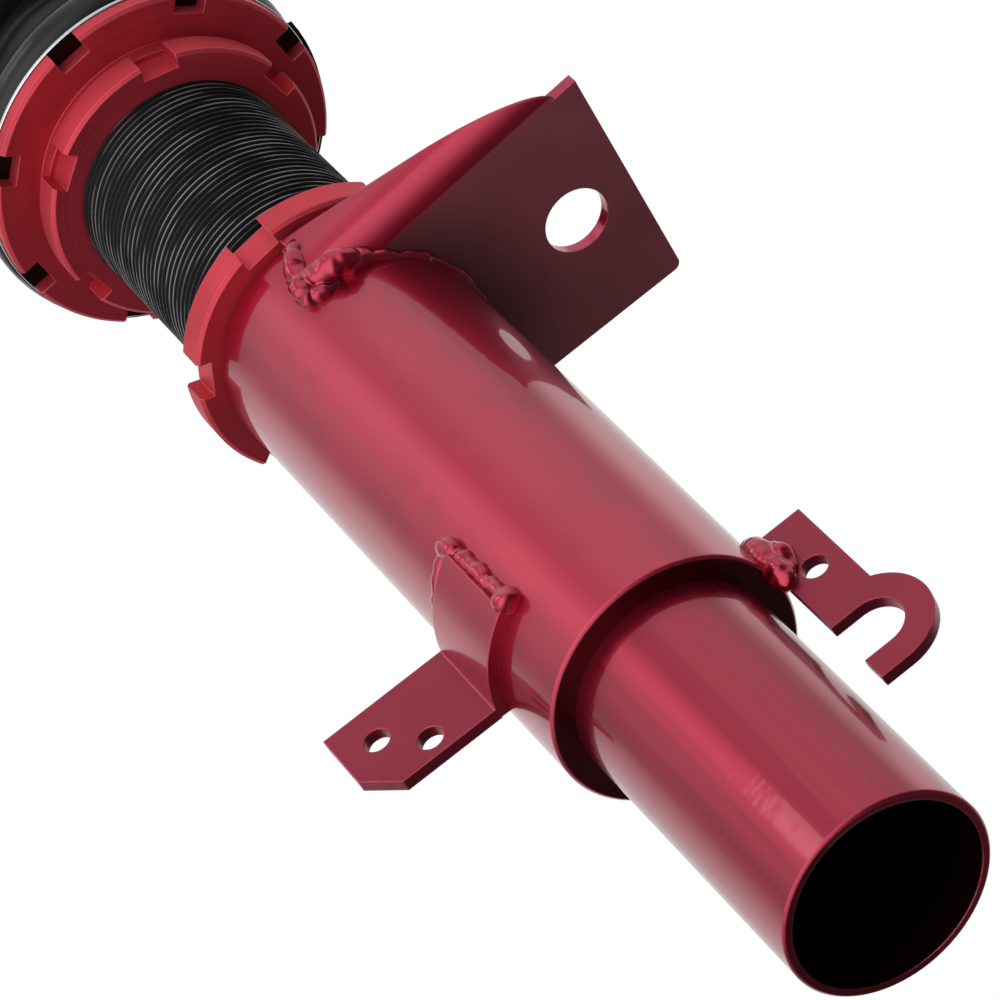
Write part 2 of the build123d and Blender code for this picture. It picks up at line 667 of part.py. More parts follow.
def main():
    guide_top = GUIDE_BOTTOM + GUIDE_HEIGHT
    seal_top = FLOATER_BOTTOM + FLOATER_CUP + FLOATER_SEAL
    piston_high = ROD_SHOULDER - SHIM
    piston_low = piston_high - PISTON_HEIGHT
    nut_high = piston_low - SHIM
    rod_fit = ROD_R + RUN
    race_top = SPRING_TOP + RACE_HEIGHT
    nodes = {
        "spigot_tube": spigot_tube(),
        "bracket_sleeve": bracket_sleeve(),
        "link_plate": link_plate(),
        "abs_bracket": abs_bracket(),
        "hose_hook_bracket": hose_hook_bracket(),
        "bracket_lock_ring": locking_ring(SLEEVE_TOP, BRACKET_RING_ANGLE),
        "threaded_body": tube(THREAD_R, BORE_R, BODY_BOTTOM, BODY_TOP, edge=EDGE),
        "base_cap": base_cap(),
        "base_cap_o_ring": tube(
            BORE_R, BORE_R - O_RING_DEPTH, BODY_BOTTOM + O_RING_LOW, BODY_BOTTOM + O_RING_HIGH),
        "gas_valve": gas_valve(),
        "floating_piston": floating_piston(),
        "floating_piston_seal": tube(
            BORE_R - RUN, BORE_R - O_RING_DEPTH, FLOATER_BOTTOM + FLOATER_CUP, seal_top),
        "rod_guide": rod_guide(),
        "guide_bush": tube(BUSH_R, rod_fit, GUIDE_BOTTOM + 1, guide_top),
        "rod_seal": tube(BORE_R, rod_fit, guide_top, guide_top + SEAL_HEIGHT),
        "gland_nut": gland_nut(),
        "wiper_seal": tube(
            BUSH_R, rod_fit, guide_top + SEAL_HEIGHT, BODY_TOP + GLAND_RIM + WIPER_LIP, edge=SEAL_EDGE),
        "perch_lock_ring": locking_ring(PERCH_Z - RING_HEIGHT, PERCH_RING_ANGLE),
        "spring_perch": spring_perch(),
        "perch_washer": tube(
            PERCH_R + WASHER_PROUD, PERCH_HUB_R, PERCH_TOP, SPRING_Z, edge=WASHER_EDGE),
        "coil_spring": coil_spring(),
        "piston_rod": piston_rod(),
        "rebound_shims": tube(SHIM_R, ROD_SPIGOT_R, ROD_SHOULDER - SHIM, ROD_SHOULDER),
        "piston": piston(),
        "piston_band": tube(
            BORE_R - RUN, BORE_R - BAND_DEPTH, piston_low + PISTON_LAND, piston_high - PISTON_LAND),
        "compression_shims": tube(SHIM_R, ROD_SPIGOT_R, nut_high, piston_low),
        "piston_nut": hexagon(PISTON_NUT_FLATS, nut_high - PISTON_NUT, nut_high)
        - rod_piece(ROD_SPIGOT_R, nut_high - PISTON_NUT - 1, nut_high + 1),
        "bump_stop": bump_stop(),
        "dust_boot": dust_boot(),
        "lower_bearing_race": tube(BEARING_OUT, BEARING_IN, SPRING_TOP, race_top, edge=RACE_EDGE),
        "bearing_balls": bearing_balls(),
        "bearing_cage": bearing_cage(),
        "upper_bearing_race": tube(BEARING_OUT, BEARING_IN, SEAT_Z - RACE_HEIGHT, SEAT_Z, edge=RACE_EDGE),
        "upper_spring_seat": upper_spring_seat(),
        "lower_spacer": tube(SPACER_R, TOP_SPIGOT_R, HUB_TOP, PILLOW_Z - PILLOW_HALF),
        "pillow_ball": pillow_ball(),
        "upper_spacer": tube(SPACER_R, TOP_SPIGOT_R, PILLOW_Z + PILLOW_HALF, NUT_Z),
        "rod_nut": rod_nut(),
        "adjuster_needle": rod_piece(NEEDLE_R, ROD_TIP + 4, KNOB_Z),
        "adjuster_knob": adjuster_knob(),
        "camber_block": camber_block(),
        "pillow_race": pillow_race(),
        "race_clip": race_clip(),
        "top_plate": top_plate(),
        "clamp_screws": clamp_screws(),
        "clamp_washers": clamp_washers(),
        "mounting_studs": mounting_studs(),
    }
    os.makedirs("parts", exist_ok=True)
    for name, shape in nodes.items():
        export_step(shape, f"parts/{name}.step")


main()
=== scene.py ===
"""Finishes, threads, spring, bellows, welds and studio of a strut coilover, built round its CAD frame."""

import json
from math import cos, pi, radians, sin

import bmesh
import bpy
from mathutils import Matrix, Vector


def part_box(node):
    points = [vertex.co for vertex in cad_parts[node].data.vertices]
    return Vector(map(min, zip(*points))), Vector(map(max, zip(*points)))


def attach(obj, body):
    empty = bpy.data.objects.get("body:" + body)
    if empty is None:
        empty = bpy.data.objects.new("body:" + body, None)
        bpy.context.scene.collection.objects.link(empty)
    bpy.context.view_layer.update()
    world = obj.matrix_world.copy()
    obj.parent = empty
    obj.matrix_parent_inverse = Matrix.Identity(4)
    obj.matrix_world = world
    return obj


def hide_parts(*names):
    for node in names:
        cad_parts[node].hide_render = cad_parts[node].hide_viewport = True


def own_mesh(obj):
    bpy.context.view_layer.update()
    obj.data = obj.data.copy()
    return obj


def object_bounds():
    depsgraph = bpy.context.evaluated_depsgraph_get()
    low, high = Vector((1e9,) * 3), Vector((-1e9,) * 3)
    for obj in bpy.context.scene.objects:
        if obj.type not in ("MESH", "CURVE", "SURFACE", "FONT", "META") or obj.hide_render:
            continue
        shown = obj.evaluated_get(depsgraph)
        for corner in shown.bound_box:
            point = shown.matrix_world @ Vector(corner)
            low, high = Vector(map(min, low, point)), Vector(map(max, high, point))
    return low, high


bl_info = {
    "name": "Strut Coilover Looks",
    "version": (1, 0, 0),
    "blender": (4, 5, 0),
    "location": "View3D > Sidebar > Coilover",
    "description": "Gives a strut coilover its threads, spring, bellows, weld beads, finishes and studio",
    "category": "Object",
}

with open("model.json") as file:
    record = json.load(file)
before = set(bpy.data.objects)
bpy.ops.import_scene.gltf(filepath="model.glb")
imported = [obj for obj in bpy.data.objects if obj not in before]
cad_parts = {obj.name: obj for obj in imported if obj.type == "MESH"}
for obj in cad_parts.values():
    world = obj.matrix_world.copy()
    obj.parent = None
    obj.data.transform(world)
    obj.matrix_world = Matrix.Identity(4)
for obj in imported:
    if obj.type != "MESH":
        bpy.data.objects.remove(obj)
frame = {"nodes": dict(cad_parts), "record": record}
cad_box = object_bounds()
MM = 0.001
MERGE = 0.001 * MM
SLIVER = 0.0005 * MM


def reach(node):
    """How far a CAD node reaches along X, in metres."""
    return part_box(node)[1][0]


def ends(node):
    """The lowest and highest Z of a CAD node, in metres."""
    low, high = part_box(node)
    return low[2], high[2]


SLEEVE_R = reach("bracket_sleeve")
SPIGOT_WALL = 2.0 * MM
SPIGOT_BORE = reach("spigot_tube") - SPIGOT_WALL
THREAD_R = reach("threaded_body")
BOOT_R = reach("dust_boot")
BUMP_R = reach("bump_stop")
BODY_LOW, BODY_HIGH = ends("threaded_body")
SPRING_LOW, SPRING_HIGH = ends("coil_spring")
BOOT_LOW, BOOT_HIGH = ends("dust_boot")
BUMP_LOW, BUMP_HIGH = ends("bump_stop")
STUD_LOW, STUD_HIGH = ends("mounting_studs")
PLATE_TOP = ends("top_plate")[1]
ROD_HIGH = ends("piston_rod")[1]
NUT_HIGH = ends("rod_nut")[1]
LINK_LOW = ends("link_plate")[0]

# The studio's walls: shares of a turn from behind the strut, and how bright each is
WALLS = ((0.0, 0.85), (0.1, 0.83), (0.2, 0.92), (0.27, 0.5), (0.36, 0.93), (0.43, 1.2), (0.5, 0.74),
         (0.585, 1.1), (0.66, 0.95), (0.75, 0.62), (0.81, 1.1), (0.88, 0.8), (0.96, 0.85))

# Where the bracket's paint changes, and where painted shade starts and ends, as distances from the axis
TAB_GLOSS_END, TAB_DULL_START = 31.8 * MM, 32.3 * MM
PLATE_SHADE_START, PLATE_SHADE_END = 52.0 * MM, 27.0 * MM
# and as heights
# painted shade on the sleeve's down-facing lower end fades in between these two heights
SLEEVE_SHADE_FADE_TOP, SLEEVE_SHADE_FULL_BELOW = 100.0 * MM, 90.0 * MM
# the spigot's bore is painted near black as painted shade from the first height inwards, dark red at the
# mouth
BORE_SHADE_FULL_DEPTH, BORE_MOUTH = 14.0 * MM, 1.0 * MM


# Sizes and colours


def length(name, description, default):
    """A size in metres."""
    return bpy.props.FloatProperty(name=name, description=description, default=default, unit="LENGTH")


def share(name, description, default):
    """A number without a unit."""
    return bpy.props.FloatProperty(name=name, description=description, default=default)


def count(name, description, default):
    """A whole number."""
    return bpy.props.IntProperty(name=name, description=description, default=default, min=1)


def colour(name, description, default):
    """A linear colour."""
    return bpy.props.FloatVectorProperty(
        name=name, description=description, default=default, size=3, subtype="COLOR", min=0.0, max=1.0)


class CoiloverThreads(bpy.types.PropertyGroup):
    """Sizes of the cut threads."""

    body_pitch: length("Body pitch", "Pitch of the damper body's thread", 2.0 * MM)
    body_depth: length("Body depth", "Depth of the damper body's thread", 1.15 * MM)
    body_bore: length("Body bore", "Bore radius of the damper body", 23.0 * MM)
    body_columns: count("Body columns", "Faces round the damper body's thread", 128)
    stud_radius: length("Stud radius", "Radius of the tower studs", 4.0 * MM)
    stud_head: length("Stud head", "Radius of the heads under the plate", 6.5 * MM)
    stud_circle: length("Stud circle", "Distance of the studs from the axis", 62.0 * MM)
    stud_pitch: length("Stud pitch", "Pitch of the tower studs", 1.25 * MM)
    stud_depth: length("Stud depth", "Depth of the tower studs' thread", 0.7 * MM)
    rod_radius: length("Rod radius", "Radius of the thread above the rod nut", 7.25 * MM)
    rod_pitch: length("Rod pitch", "Pitch of the thread above the rod nut", 1.5 * MM)
    rod_depth: length("Rod depth", "Depth of the thread above the rod nut", 0.9 * MM)
    small_columns: count("Small columns", "Faces round a stud or rod thread", 48)


class CoiloverSoft(bpy.types.PropertyGroup):
    """Sizes of the spring, the bellows and the bump stop."""

    wire_radius: length("Wire radius", "Radius of the spring wire", 6.0 * MM)
    turns: share("Turns", "Turns of the spring, closed ones included", 6.5)
    closed_turns: share("Closed turns", "Turns wound close at each end", 1.0)
    fold_pitch: length("Fold pitch", "Height of one fold of the bellows", 8.0 * MM)
    fold_depth: length("Fold depth", "Depth of one fold of the bellows", 1.9 * MM)
    boot_wall: length("Boot wall", "Thickness of the bellows", 0.7 * MM)
    boot_bore: length("Boot bore", "Bore radius of the bellows' flange", 11.5 * MM)
    boot_flange: length("Boot flange", "Thickness of the bellows' flange", 1.5 * MM)
    rolls: count("Rolls", "Rolls of the bump stop", 3)
    bump_bore: length("Bump bore", "Bore radius of the bump stop", 11.4 * MM)
    bump_waist: length("Bump waist", "Radius between two rolls of the bump stop", 13.0 * MM)
    bump_nose: length("Bump nose", "Radius of the lowest roll of the bump stop", 16.5 * MM)


class CoiloverWelds(bpy.types.PropertyGroup):
    """Sizes of the weld beads."""

    ripple_pitch: length("Ripple pitch", "Distance between two ripples of a bead", 2.6 * MM)
    ripple_height: share("Ripple height", "Height of a ripple as a share of the bead", 0.03)
    lump_size: length("Lump size", "Width of a lump in a bead", 5.2 * MM)
    lump_height: length("Lump height", "Height of a lump in a bead", 1.7 * MM)


class CoiloverColours(bpy.types.PropertyGroup):
    """Colours of the finishes."""

    candy: colour("Candy red", "Clear-coated red of the welded bracket", (0.40, 0.008, 0.040))
    anodised: colour("Anodised red", "Rings, perch and mount", (0.56, 0.044, 0.068))
    black: colour("Black", "Thread and spring", (0.012, 0.012, 0.014))
    steel: colour("Steel", "Ground and plated steel", (0.62, 0.62, 0.63))
    rubber: colour("Rubber", "Bellows and seals", (0.014, 0.014, 0.014))
    foam: colour("Foam", "Bump stop", (0.62, 0.52, 0.16))


class CoiloverStage(bpy.types.PropertyGroup):
    """Camera, floor and light."""

    camera_place: bpy.props.FloatVectorProperty(
        name="Camera place", description="Where the camera stands, low in front of the strut",
        default=(-0.00107, -0.72631, -0.63272), size=3, subtype="TRANSLATION")
    camera_turn: bpy.props.FloatVectorProperty(
        name="Camera turn", description="Where the camera looks",
        default=(radians(146.6952), radians(28.4101), radians(35.8149)), size=3, subtype="EULER")
    lens: share("Lens", "Focal length in millimetres on a 36 mm sensor", 182.06)
    floor_size: length("Floor size", "Side of the floor", 8.0)
    light: share("Light", "Strength of the studio light", 1.0)


class CoiloverLooks(bpy.types.PropertyGroup):
    """Everything that a user may change."""

    threads: bpy.props.PointerProperty(type=CoiloverThreads)
    soft: bpy.props.PointerProperty(type=CoiloverSoft)
    welds: bpy.props.PointerProperty(type=CoiloverWelds)
    colours: bpy.props.PointerProperty(type=CoiloverColours)
    stage: bpy.props.PointerProperty(type=CoiloverStage)


def looks():
    """The scene's own copy of the sizes and colours."""
    return bpy.context.scene.coilover_looks


# Node trees


class Nodes:
    """Adds and links nodes in one tree. A value is plain, or another node's output socket."""

    def __init__(self, tree):
        self.tree = tree

    def add(self, kind, values=None, **settings):
        node = self.tree.nodes.new(kind)
        for name, value in settings.items():
            setattr(node, name, value)
        for key, value in (values or {}).items():
            if isinstance(value, bpy.types.NodeSocket):
                self.tree.links.new(value, node.inputs[key])
            else:
                node.inputs[key].default_value = value
        return node

    def out(self, kind, values=None, **settings):
        return self.add(kind, values, **settings).outputs[0]

    def math(self, operation, *values):
        return self.out("ShaderNodeMath", dict(enumerate(values)), operation=operation)

    def plus(self, first, second):
        return self.math("ADD", first, second)

    def minus(self, first, second):
        return self.math("SUBTRACT", first, second)

    def times(self, first, second):
        return self.math("MULTIPLY", first, second)

    def over(self, first, second):
        return self.math("DIVIDE", first, second)

    def ramp(self, value, low, high, to_low=0.0, to_high=1.0):
        """Maps a value from low..high to to_low..to_high, smoothly and clamped."""
        values = {0: value, 1: low, 2: high, 3: to_low, 4: to_high}
        return self.out("ShaderNodeMapRange", values, interpolation_type="SMOOTHSTEP")

    def mix(self, factor, first, second):
        """Mixes two colours."""
        node = self.add("ShaderNodeMix", {0: factor, 6: first, 7: second}, data_type="RGBA")
        return node.outputs[2]

    def noise(self, vector, scale, detail=2.0):
        return self.out("ShaderNodeTexNoise", {"Vector": vector, "Scale": scale, "Detail": detail})

    def xyz(self, x, y, z):
        return self.out("ShaderNodeCombineXYZ", {0: x, 1: y, 2: z})

    def parts(self, vector):
        """The X, Y and Z of a vector."""
        return self.add("ShaderNodeSeparateXYZ", {0: vector}).outputs

    def place(self):
        """A point in the object's own frame."""
        return self.add("ShaderNodeTexCoord").outputs["Object"]

    def facing(self):
        """The Z of the surface's own direction: 1 faces up and -1 faces down."""
        return self.parts(self.add("ShaderNodeNewGeometry").outputs["Normal"])[2]

    def radius(self, parts):
        """The distance from the strut's axis."""
        return self.math("SQRT", self.plus(self.times(parts[0], parts[0]), self.times(parts[1], parts[1])))


def tree_with(kind, name, inputs, outputs):
    """A node group with named sockets: inputs and outputs map a name to its type or default."""
    tree = bpy.data.node_groups.new(name, kind)
    for label, default in inputs.items():
        is_number = isinstance(default, (int, float))
        socket_type = default
        if is_number:
            socket_type = "NodeSocketInt" if isinstance(default, int) else "NodeSocketFloat"
        socket = tree.interface.new_socket(name=label, in_out="INPUT", socket_type=socket_type)
        if is_number:
            socket.default_value = default
    for label, socket_type in outputs.items():
        tree.interface.new_socket(name=label, in_out="OUTPUT", socket_type=socket_type)
    nodes = Nodes(tree)
    return tree, nodes, nodes.add("NodeGroupInput").outputs, nodes.add("NodeGroupOutput").inputs


# Shader groups that the finishes share


def turned_marks_group():
    """Fine marks round the axis, as a lathe or a brush leaves them."""
    tree, nodes, given, out = tree_with(
        "ShaderNodeTree", "Turned Marks",
        {"Density": 900.0, "Streak": 30.0},
        {"Height": "NodeSocketFloat", "Streaks": "NodeSocketFloat"})
    parts = nodes.parts(nodes.place())
    radius = nodes.radius(parts)
    turn = nodes.math("ARCTAN2", parts[1], parts[0])
    fine = nodes.xyz(nodes.times(radius, given["Density"]), nodes.times(parts[2], given["Density"]),
                     nodes.times(turn, 0.35))
    marks = nodes.noise(fine, 1.0, 3.0)
    along = nodes.xyz(nodes.times(turn, given["Streak"]), nodes.times(parts[2], 12.0), radius)
    streaks = nodes.noise(along, 1.0, 2.0)
    tree.links.new(marks, out["Height"])
    tree.links.new(streaks, out["Streaks"])
    return tree


def edge_wear_and_sheen_group():
    """A rounded normal at edges, and a mask of where it turns the surface, broken up by noise; the finishes
    lighten their colour under this mask, partly as wear and partly as painted highlight.
    """
    tree, nodes, given, out = tree_with(
        "ShaderNodeTree", "Edge Wear And Sheen",
        {"Radius": 0.0005, "Breakup": 0.4}, {"Mask": "NodeSocketFloat", "Normal": "NodeSocketVector"})
    flat = nodes.add("ShaderNodeNewGeometry").outputs["Normal"]
    rounded = nodes.out("ShaderNodeBevel", {"Radius": given["Radius"]}, samples=6)
    along = nodes.add("ShaderNodeVectorMath", {0: flat, 1: rounded}, operation="DOT_PRODUCT")
    edge = nodes.ramp(along.outputs["Value"], 0.999, 0.93)
    patchy = nodes.ramp(nodes.noise(nodes.place(), 420.0, 3.0), 0.35, 0.6)
    kept = nodes.minus(1.0, nodes.times(given["Breakup"], patchy))
    tree.links.new(nodes.times(edge, kept), out["Mask"])
    tree.links.new(rounded, out["Normal"])
    return tree


def grain_group():
    """Height and cloudy variation of a coated or cast surface."""
    tree, nodes, given, out = tree_with(
        "ShaderNodeTree", "Surface Grain",
        {"Grain Scale": 900.0, "Cloud Scale": 40.0},
        {"Height": "NodeSocketFloat", "Clouds": "NodeSocketFloat"})
    place = nodes.place()
    tree.links.new(nodes.noise(place, given["Grain Scale"], 3.0), out["Height"])
    tree.links.new(nodes.noise(place, given["Cloud Scale"], 4.0), out["Clouds"])
    return tree


def speck_group():
    """Sparse specks of dust, as a mask."""
    tree, nodes, given, out = tree_with(
        "ShaderNodeTree", "Dust Specks", {"Scale": 700.0, "Share": 0.06}, {"Mask": "NodeSocketFloat"})
    place = nodes.place()
    cells = nodes.out("ShaderNodeTexVoronoi", {"Vector": place, "Scale": given["Scale"]})
    patch = nodes.ramp(nodes.noise(place, 60.0, 2.0), 0.5, 0.7)
    near = nodes.math("LESS_THAN", cells, given["Share"])
    tree.links.new(nodes.times(near, patch), out["Mask"])
    return tree


SHADER_GROUPS = {
    "marks": turned_marks_group, "edge_wear_and_sheen": edge_wear_and_sheen_group, "grain": grain_group, "specks": speck_group}
made_groups = {}


def group(nodes, name, **values):
    """Places a shared shader group in a material, with its own values."""
    if name not in made_groups:
        made_groups[name] = SHADER_GROUPS[name]()
    node = nodes.add("ShaderNodeGroup", node_tree=made_groups[name])
    for label, value in values.items():
        node.inputs[label.replace("_", " ").title()].default_value = value
    return node.outputs


# Finishes


def blank_finish(name, **settings):
    """A material with a Principled shader whose plain values are set on its own sockets."""
    material = bpy.data.materials.new(name)
    material.use_nodes = True
    nodes = Nodes(material.node_tree)
    shader = material.node_tree.nodes["Principled BSDF"]
    for label, value in settings.items():
        shader.inputs[label.replace("_", " ")].default_value = value
    return material, nodes, shader


def rgba(values, factor=1.0):
    """A colour with its alpha, made lighter or darker by a factor."""
    return (*[min(1.0, value * factor) for value in values], 1.0)


def link(nodes, source, shader, label):
    nodes.tree.links.new(source, shader.inputs[label])


def feed(nodes, shader, tone, rough, normal):
    """Gives a shader its colour, roughness and bumped normal."""
    for label, source in (("Base Color", tone), ("Roughness", rough), ("Normal", normal)):
        link(nodes, source, shader, label)


def bump(nodes, height, distance, normal=None):
    """A bumped normal, on top of another normal where one is given."""
    values = {"Height": height, "Distance": distance}
    if normal is not None:
        values["Normal"] = normal
    return nodes.out("ShaderNodeBump", values)


def candy_red(name, kind):
    """Clear-coated candy paint, as it lies on one kind of piece.

    sleeve: deep gloss; its down-facing lower end is painted near black as painted shade. spigot: fine brush
    marks, and a bore painted near black as painted shade, darkest deepest in.
    tab: duller beyond the sleeve. hook: dull all over. plate: hazy underneath, its underside painted dark
    brown as painted shade, darkest near the sleeve. weld: smooth and wet.
    """
    base = looks().colours.candy
    material, nodes, shader = blank_finish(
        name, Metallic=0.88, Roughness=0.36, Coat_Weight=1.0, Coat_Roughness=0.04, Coat_IOR=1.43)
    grain = group(nodes, "grain", grain_scale=2600.0, cloud_scale=55.0)
    edge_wear_and_sheen = group(nodes, "edge_wear_and_sheen", radius=0.6 * MM, breakup=0.35)
    parts = nodes.parts(nodes.place())
    radius = nodes.radius(parts)
    clouds = nodes.ramp(grain["Clouds"], 0.3, 0.7)
    tone = nodes.mix(clouds, rgba(base, 0.92), rgba(base, 1.06))
    rough = nodes.ramp(grain["Clouds"], 0.2, 0.8, 0.33, 0.42)
    height = grain["Height"]
    depth = 0.01 * MM
    coat = None
    if kind == "spigot":
        marks = group(nodes, "marks", density=2200.0, streak=16.0)
        tone = nodes.mix(nodes.ramp(marks["Streaks"], 0.3, 0.7), rgba(base, 0.74), rgba(base, 0.88))
        rough = nodes.ramp(marks["Streaks"], 0.2, 0.8, 0.27, 0.35)
        height = nodes.plus(marks["Height"], nodes.times(grain["Height"], 0.3))
        depth = 0.02 * MM
        # painted shade: the bore's wall is painted near black, a little redder towards the mouth, with its
        # coat thinned
        outside = nodes.ramp(radius, SPIGOT_BORE + 0.1 * MM, SPIGOT_BORE + 0.3 * MM)
        mouth = nodes.ramp(parts[2], BORE_SHADE_FULL_DEPTH, BORE_MOUTH)
        inside = nodes.mix(mouth, rgba((0.003, 0.002, 0.002)), rgba((0.030, 0.003, 0.007)))
        tone = nodes.mix(outside, inside, tone)
        coat = nodes.times(nodes.math("MAXIMUM", outside, nodes.times(mouth, 0.5)), 0.8)
    if kind in ("tab", "hook"):
        matt = nodes.mix(clouds, rgba((0.245, 0.012, 0.034)), rgba((0.285, 0.014, 0.042)))
    if kind == "tab":
        dull = nodes.ramp(radius, TAB_GLOSS_END, TAB_DULL_START)
        tone = nodes.mix(dull, tone, matt)
        rough = nodes.math("MAXIMUM", rough, nodes.times(dull, 0.46))
        shader.inputs["Coat Roughness"].default_value = 0.1
        coat = nodes.ramp(dull, 0.0, 1.0, 1.0, 0.5)
    if kind == "hook":
        tone = matt
        rough = nodes.ramp(grain["Clouds"], 0.2, 0.8, 0.42, 0.50)
        shader.inputs["Coat Roughness"].default_value = 0.25
        shader.inputs["Coat Weight"].default_value = 0.5
    if kind == "plate":
        # painted shade: the plate's down-facing underside is painted dark brown, darkest near the sleeve;
        # its higher roughness and thin coat are the duller finish
        under = nodes.ramp(nodes.facing(), -0.985, -0.999)
        shade_near_sleeve = nodes.ramp(radius, PLATE_SHADE_START, PLATE_SHADE_END)
        outer = nodes.mix(clouds, rgba((0.190, 0.038, 0.053)), rgba((0.220, 0.046, 0.063)))
        tone = nodes.mix(under, tone, nodes.mix(shade_near_sleeve, outer, rgba((0.085, 0.014, 0.021))))
        rough = nodes.math("MAXIMUM", rough, nodes.times(under, 0.62))
        link(nodes, nodes.times(nodes.minus(1.0, under), 0.88), shader, "Metallic")
        coat = nodes.ramp(under, 0.0, 1.0, 1.0, 0.15)
    if kind == "sleeve":
        # painted shade: the sleeve's down-facing lower end face is painted near black, with a thinner coat
        low = nodes.ramp(parts[2], SLEEVE_SHADE_FADE_TOP, SLEEVE_SHADE_FULL_BELOW)
        under = nodes.times(nodes.ramp(nodes.facing(), -0.985, -0.999), low)
        end_face_shade = nodes.mix(clouds, rgba((0.068, 0.002, 0.006)), rgba((0.082, 0.002, 0.008)))
        tone = nodes.mix(under, tone, end_face_shade)
        coat = nodes.ramp(under, 0.0, 1.0, 1.0, 0.4)
    if kind == "weld":
        tone = nodes.mix(nodes.ramp(grain["Clouds"], 0.35, 0.65), rgba(base, 0.8), rgba(base, 1.15))
        rough = nodes.ramp(grain["Clouds"], 0.3, 0.7, 0.2, 0.3)
    # edges lightened to a pale red, partly as wear and partly as painted highlight
    tone = nodes.mix(nodes.times(edge_wear_and_sheen["Mask"], 0.55), tone, rgba((0.70, 0.10, 0.15)))
    feed(nodes, shader, tone, rough, bump(nodes, height, depth, edge_wear_and_sheen["Normal"]))
    if coat is not None:
        link(nodes, coat, shader, "Coat Weight")
    rounded = nodes.out("ShaderNodeBevel", {"Radius": 0.6 * MM}, samples=4)
    flow = nodes.noise(nodes.place(), 260.0, 1.0)
    link(nodes, bump(nodes, flow, 0.02 * MM, rounded), shader, "Coat Normal")
    return material


def anodised(name, base, rough=0.5):
    """Satin anodised aluminium with turning marks, and chamfers lightened in colour, partly as wear and
    partly as painted highlight.
    """
    material, nodes, shader = blank_finish(name, Metallic=0.75, Roughness=rough)
    marks = group(nodes, "marks", density=1800.0, streak=8.0)
    edge_wear_and_sheen = group(nodes, "edge_wear_and_sheen", radius=0.4 * MM, breakup=0.3)
    clouds = group(nodes, "grain", grain_scale=3000.0, cloud_scale=70.0)["Clouds"]
    tone = nodes.mix(nodes.ramp(clouds, 0.3, 0.7), rgba(base, 0.92), rgba(base, 1.06))
    # chamfers lightened, partly as wear and partly as painted highlight
    worn_and_lit_edge = rgba([0.12 + value * 0.95 for value in base])
    tone = nodes.mix(nodes.times(edge_wear_and_sheen["Mask"], 0.7), tone, worn_and_lit_edge)
    rough_marks = nodes.ramp(marks["Height"], 0.2, 0.8, rough - 0.06, rough + 0.1)
    feed(nodes, shader, tone, rough_marks, bump(nodes, marks["Height"], 0.02 * MM, edge_wear_and_sheen["Normal"]))
    return material


def thread_black(name):
    """Black coated thread whose crests are lightened in patches round the axis, partly as rubbing by the
    rings and partly as painted highlight.
    """
    base = looks().colours.black
    material, nodes, shader = blank_finish(name, Roughness=0.4, Specular_IOR_Level=0.14)
    place = nodes.place()
    parts = nodes.parts(place)
    crest = nodes.ramp(nodes.radius(parts), THREAD_R - 0.16 * MM, THREAD_R - 0.03 * MM)
    turn = nodes.math("ARCTAN2", parts[1], parts[0])
    rubbed_and_lit_patches = nodes.noise(nodes.xyz(nodes.times(turn, 1.6), nodes.times(parts[2], 190.0), 0.0), 1.0, 2.0)
    # crests lightened to grey in patches: partly wear, partly painted highlight
    lit_and_worn_crest = nodes.times(crest, nodes.ramp(rubbed_and_lit_patches, 0.42, 0.64, 0.06, 1.0))
    tone = nodes.mix(lit_and_worn_crest, rgba(base, 0.45), rgba((0.24, 0.24, 0.25)))
    link(nodes, nodes.times(lit_and_worn_crest, 0.75), shader, "Metallic")
    rough = nodes.ramp(rubbed_and_lit_patches, 0.2, 0.8, 0.4, 0.52)
    feed(nodes, shader, tone, rough, bump(nodes, nodes.noise(place, 2500.0, 2.0), 0.01 * MM))
    return material


def washer_steel(name):
    """Steel with its flat faces painted near black as painted shade, and a bright turned rim."""
    material, nodes, shader = blank_finish(name, Metallic=1.0, Roughness=0.28)
    marks = group(nodes, "marks", density=1600.0, streak=7.0)
    # painted shade: faces turned up or down are painted near black
    flat = nodes.ramp(nodes.math("ABSOLUTE", nodes.facing()), 0.8, 0.95)
    tone = nodes.mix(flat, rgba(looks().colours.steel), rgba((0.02, 0.018, 0.018)))
    rough = nodes.ramp(marks["Height"], 0.2, 0.8, 0.24, 0.4)
    feed(nodes, shader, tone, rough, bump(nodes, marks["Height"], 0.01 * MM))
    return material


def spring_gloss(name):
    """Thick glossy black powder coat with a little orange peel and dust."""
    material, nodes, shader = blank_finish(
        name, Roughness=0.26, Specular_IOR_Level=0.18, Coat_Weight=0.22, Coat_Roughness=0.05)
    base = looks().colours.black
    grain = group(nodes, "grain", grain_scale=700.0, cloud_scale=60.0)
    specks = group(nodes, "specks", scale=1500.0, share=0.08)["Mask"]
    tone = nodes.mix(specks, rgba(base), rgba((0.12, 0.12, 0.12)))
    rough = nodes.ramp(grain["Clouds"], 0.3, 0.7, 0.16, 0.3)
    feed(nodes, shader, tone, rough, bump(nodes, grain["Height"], 0.04 * MM))
    return material


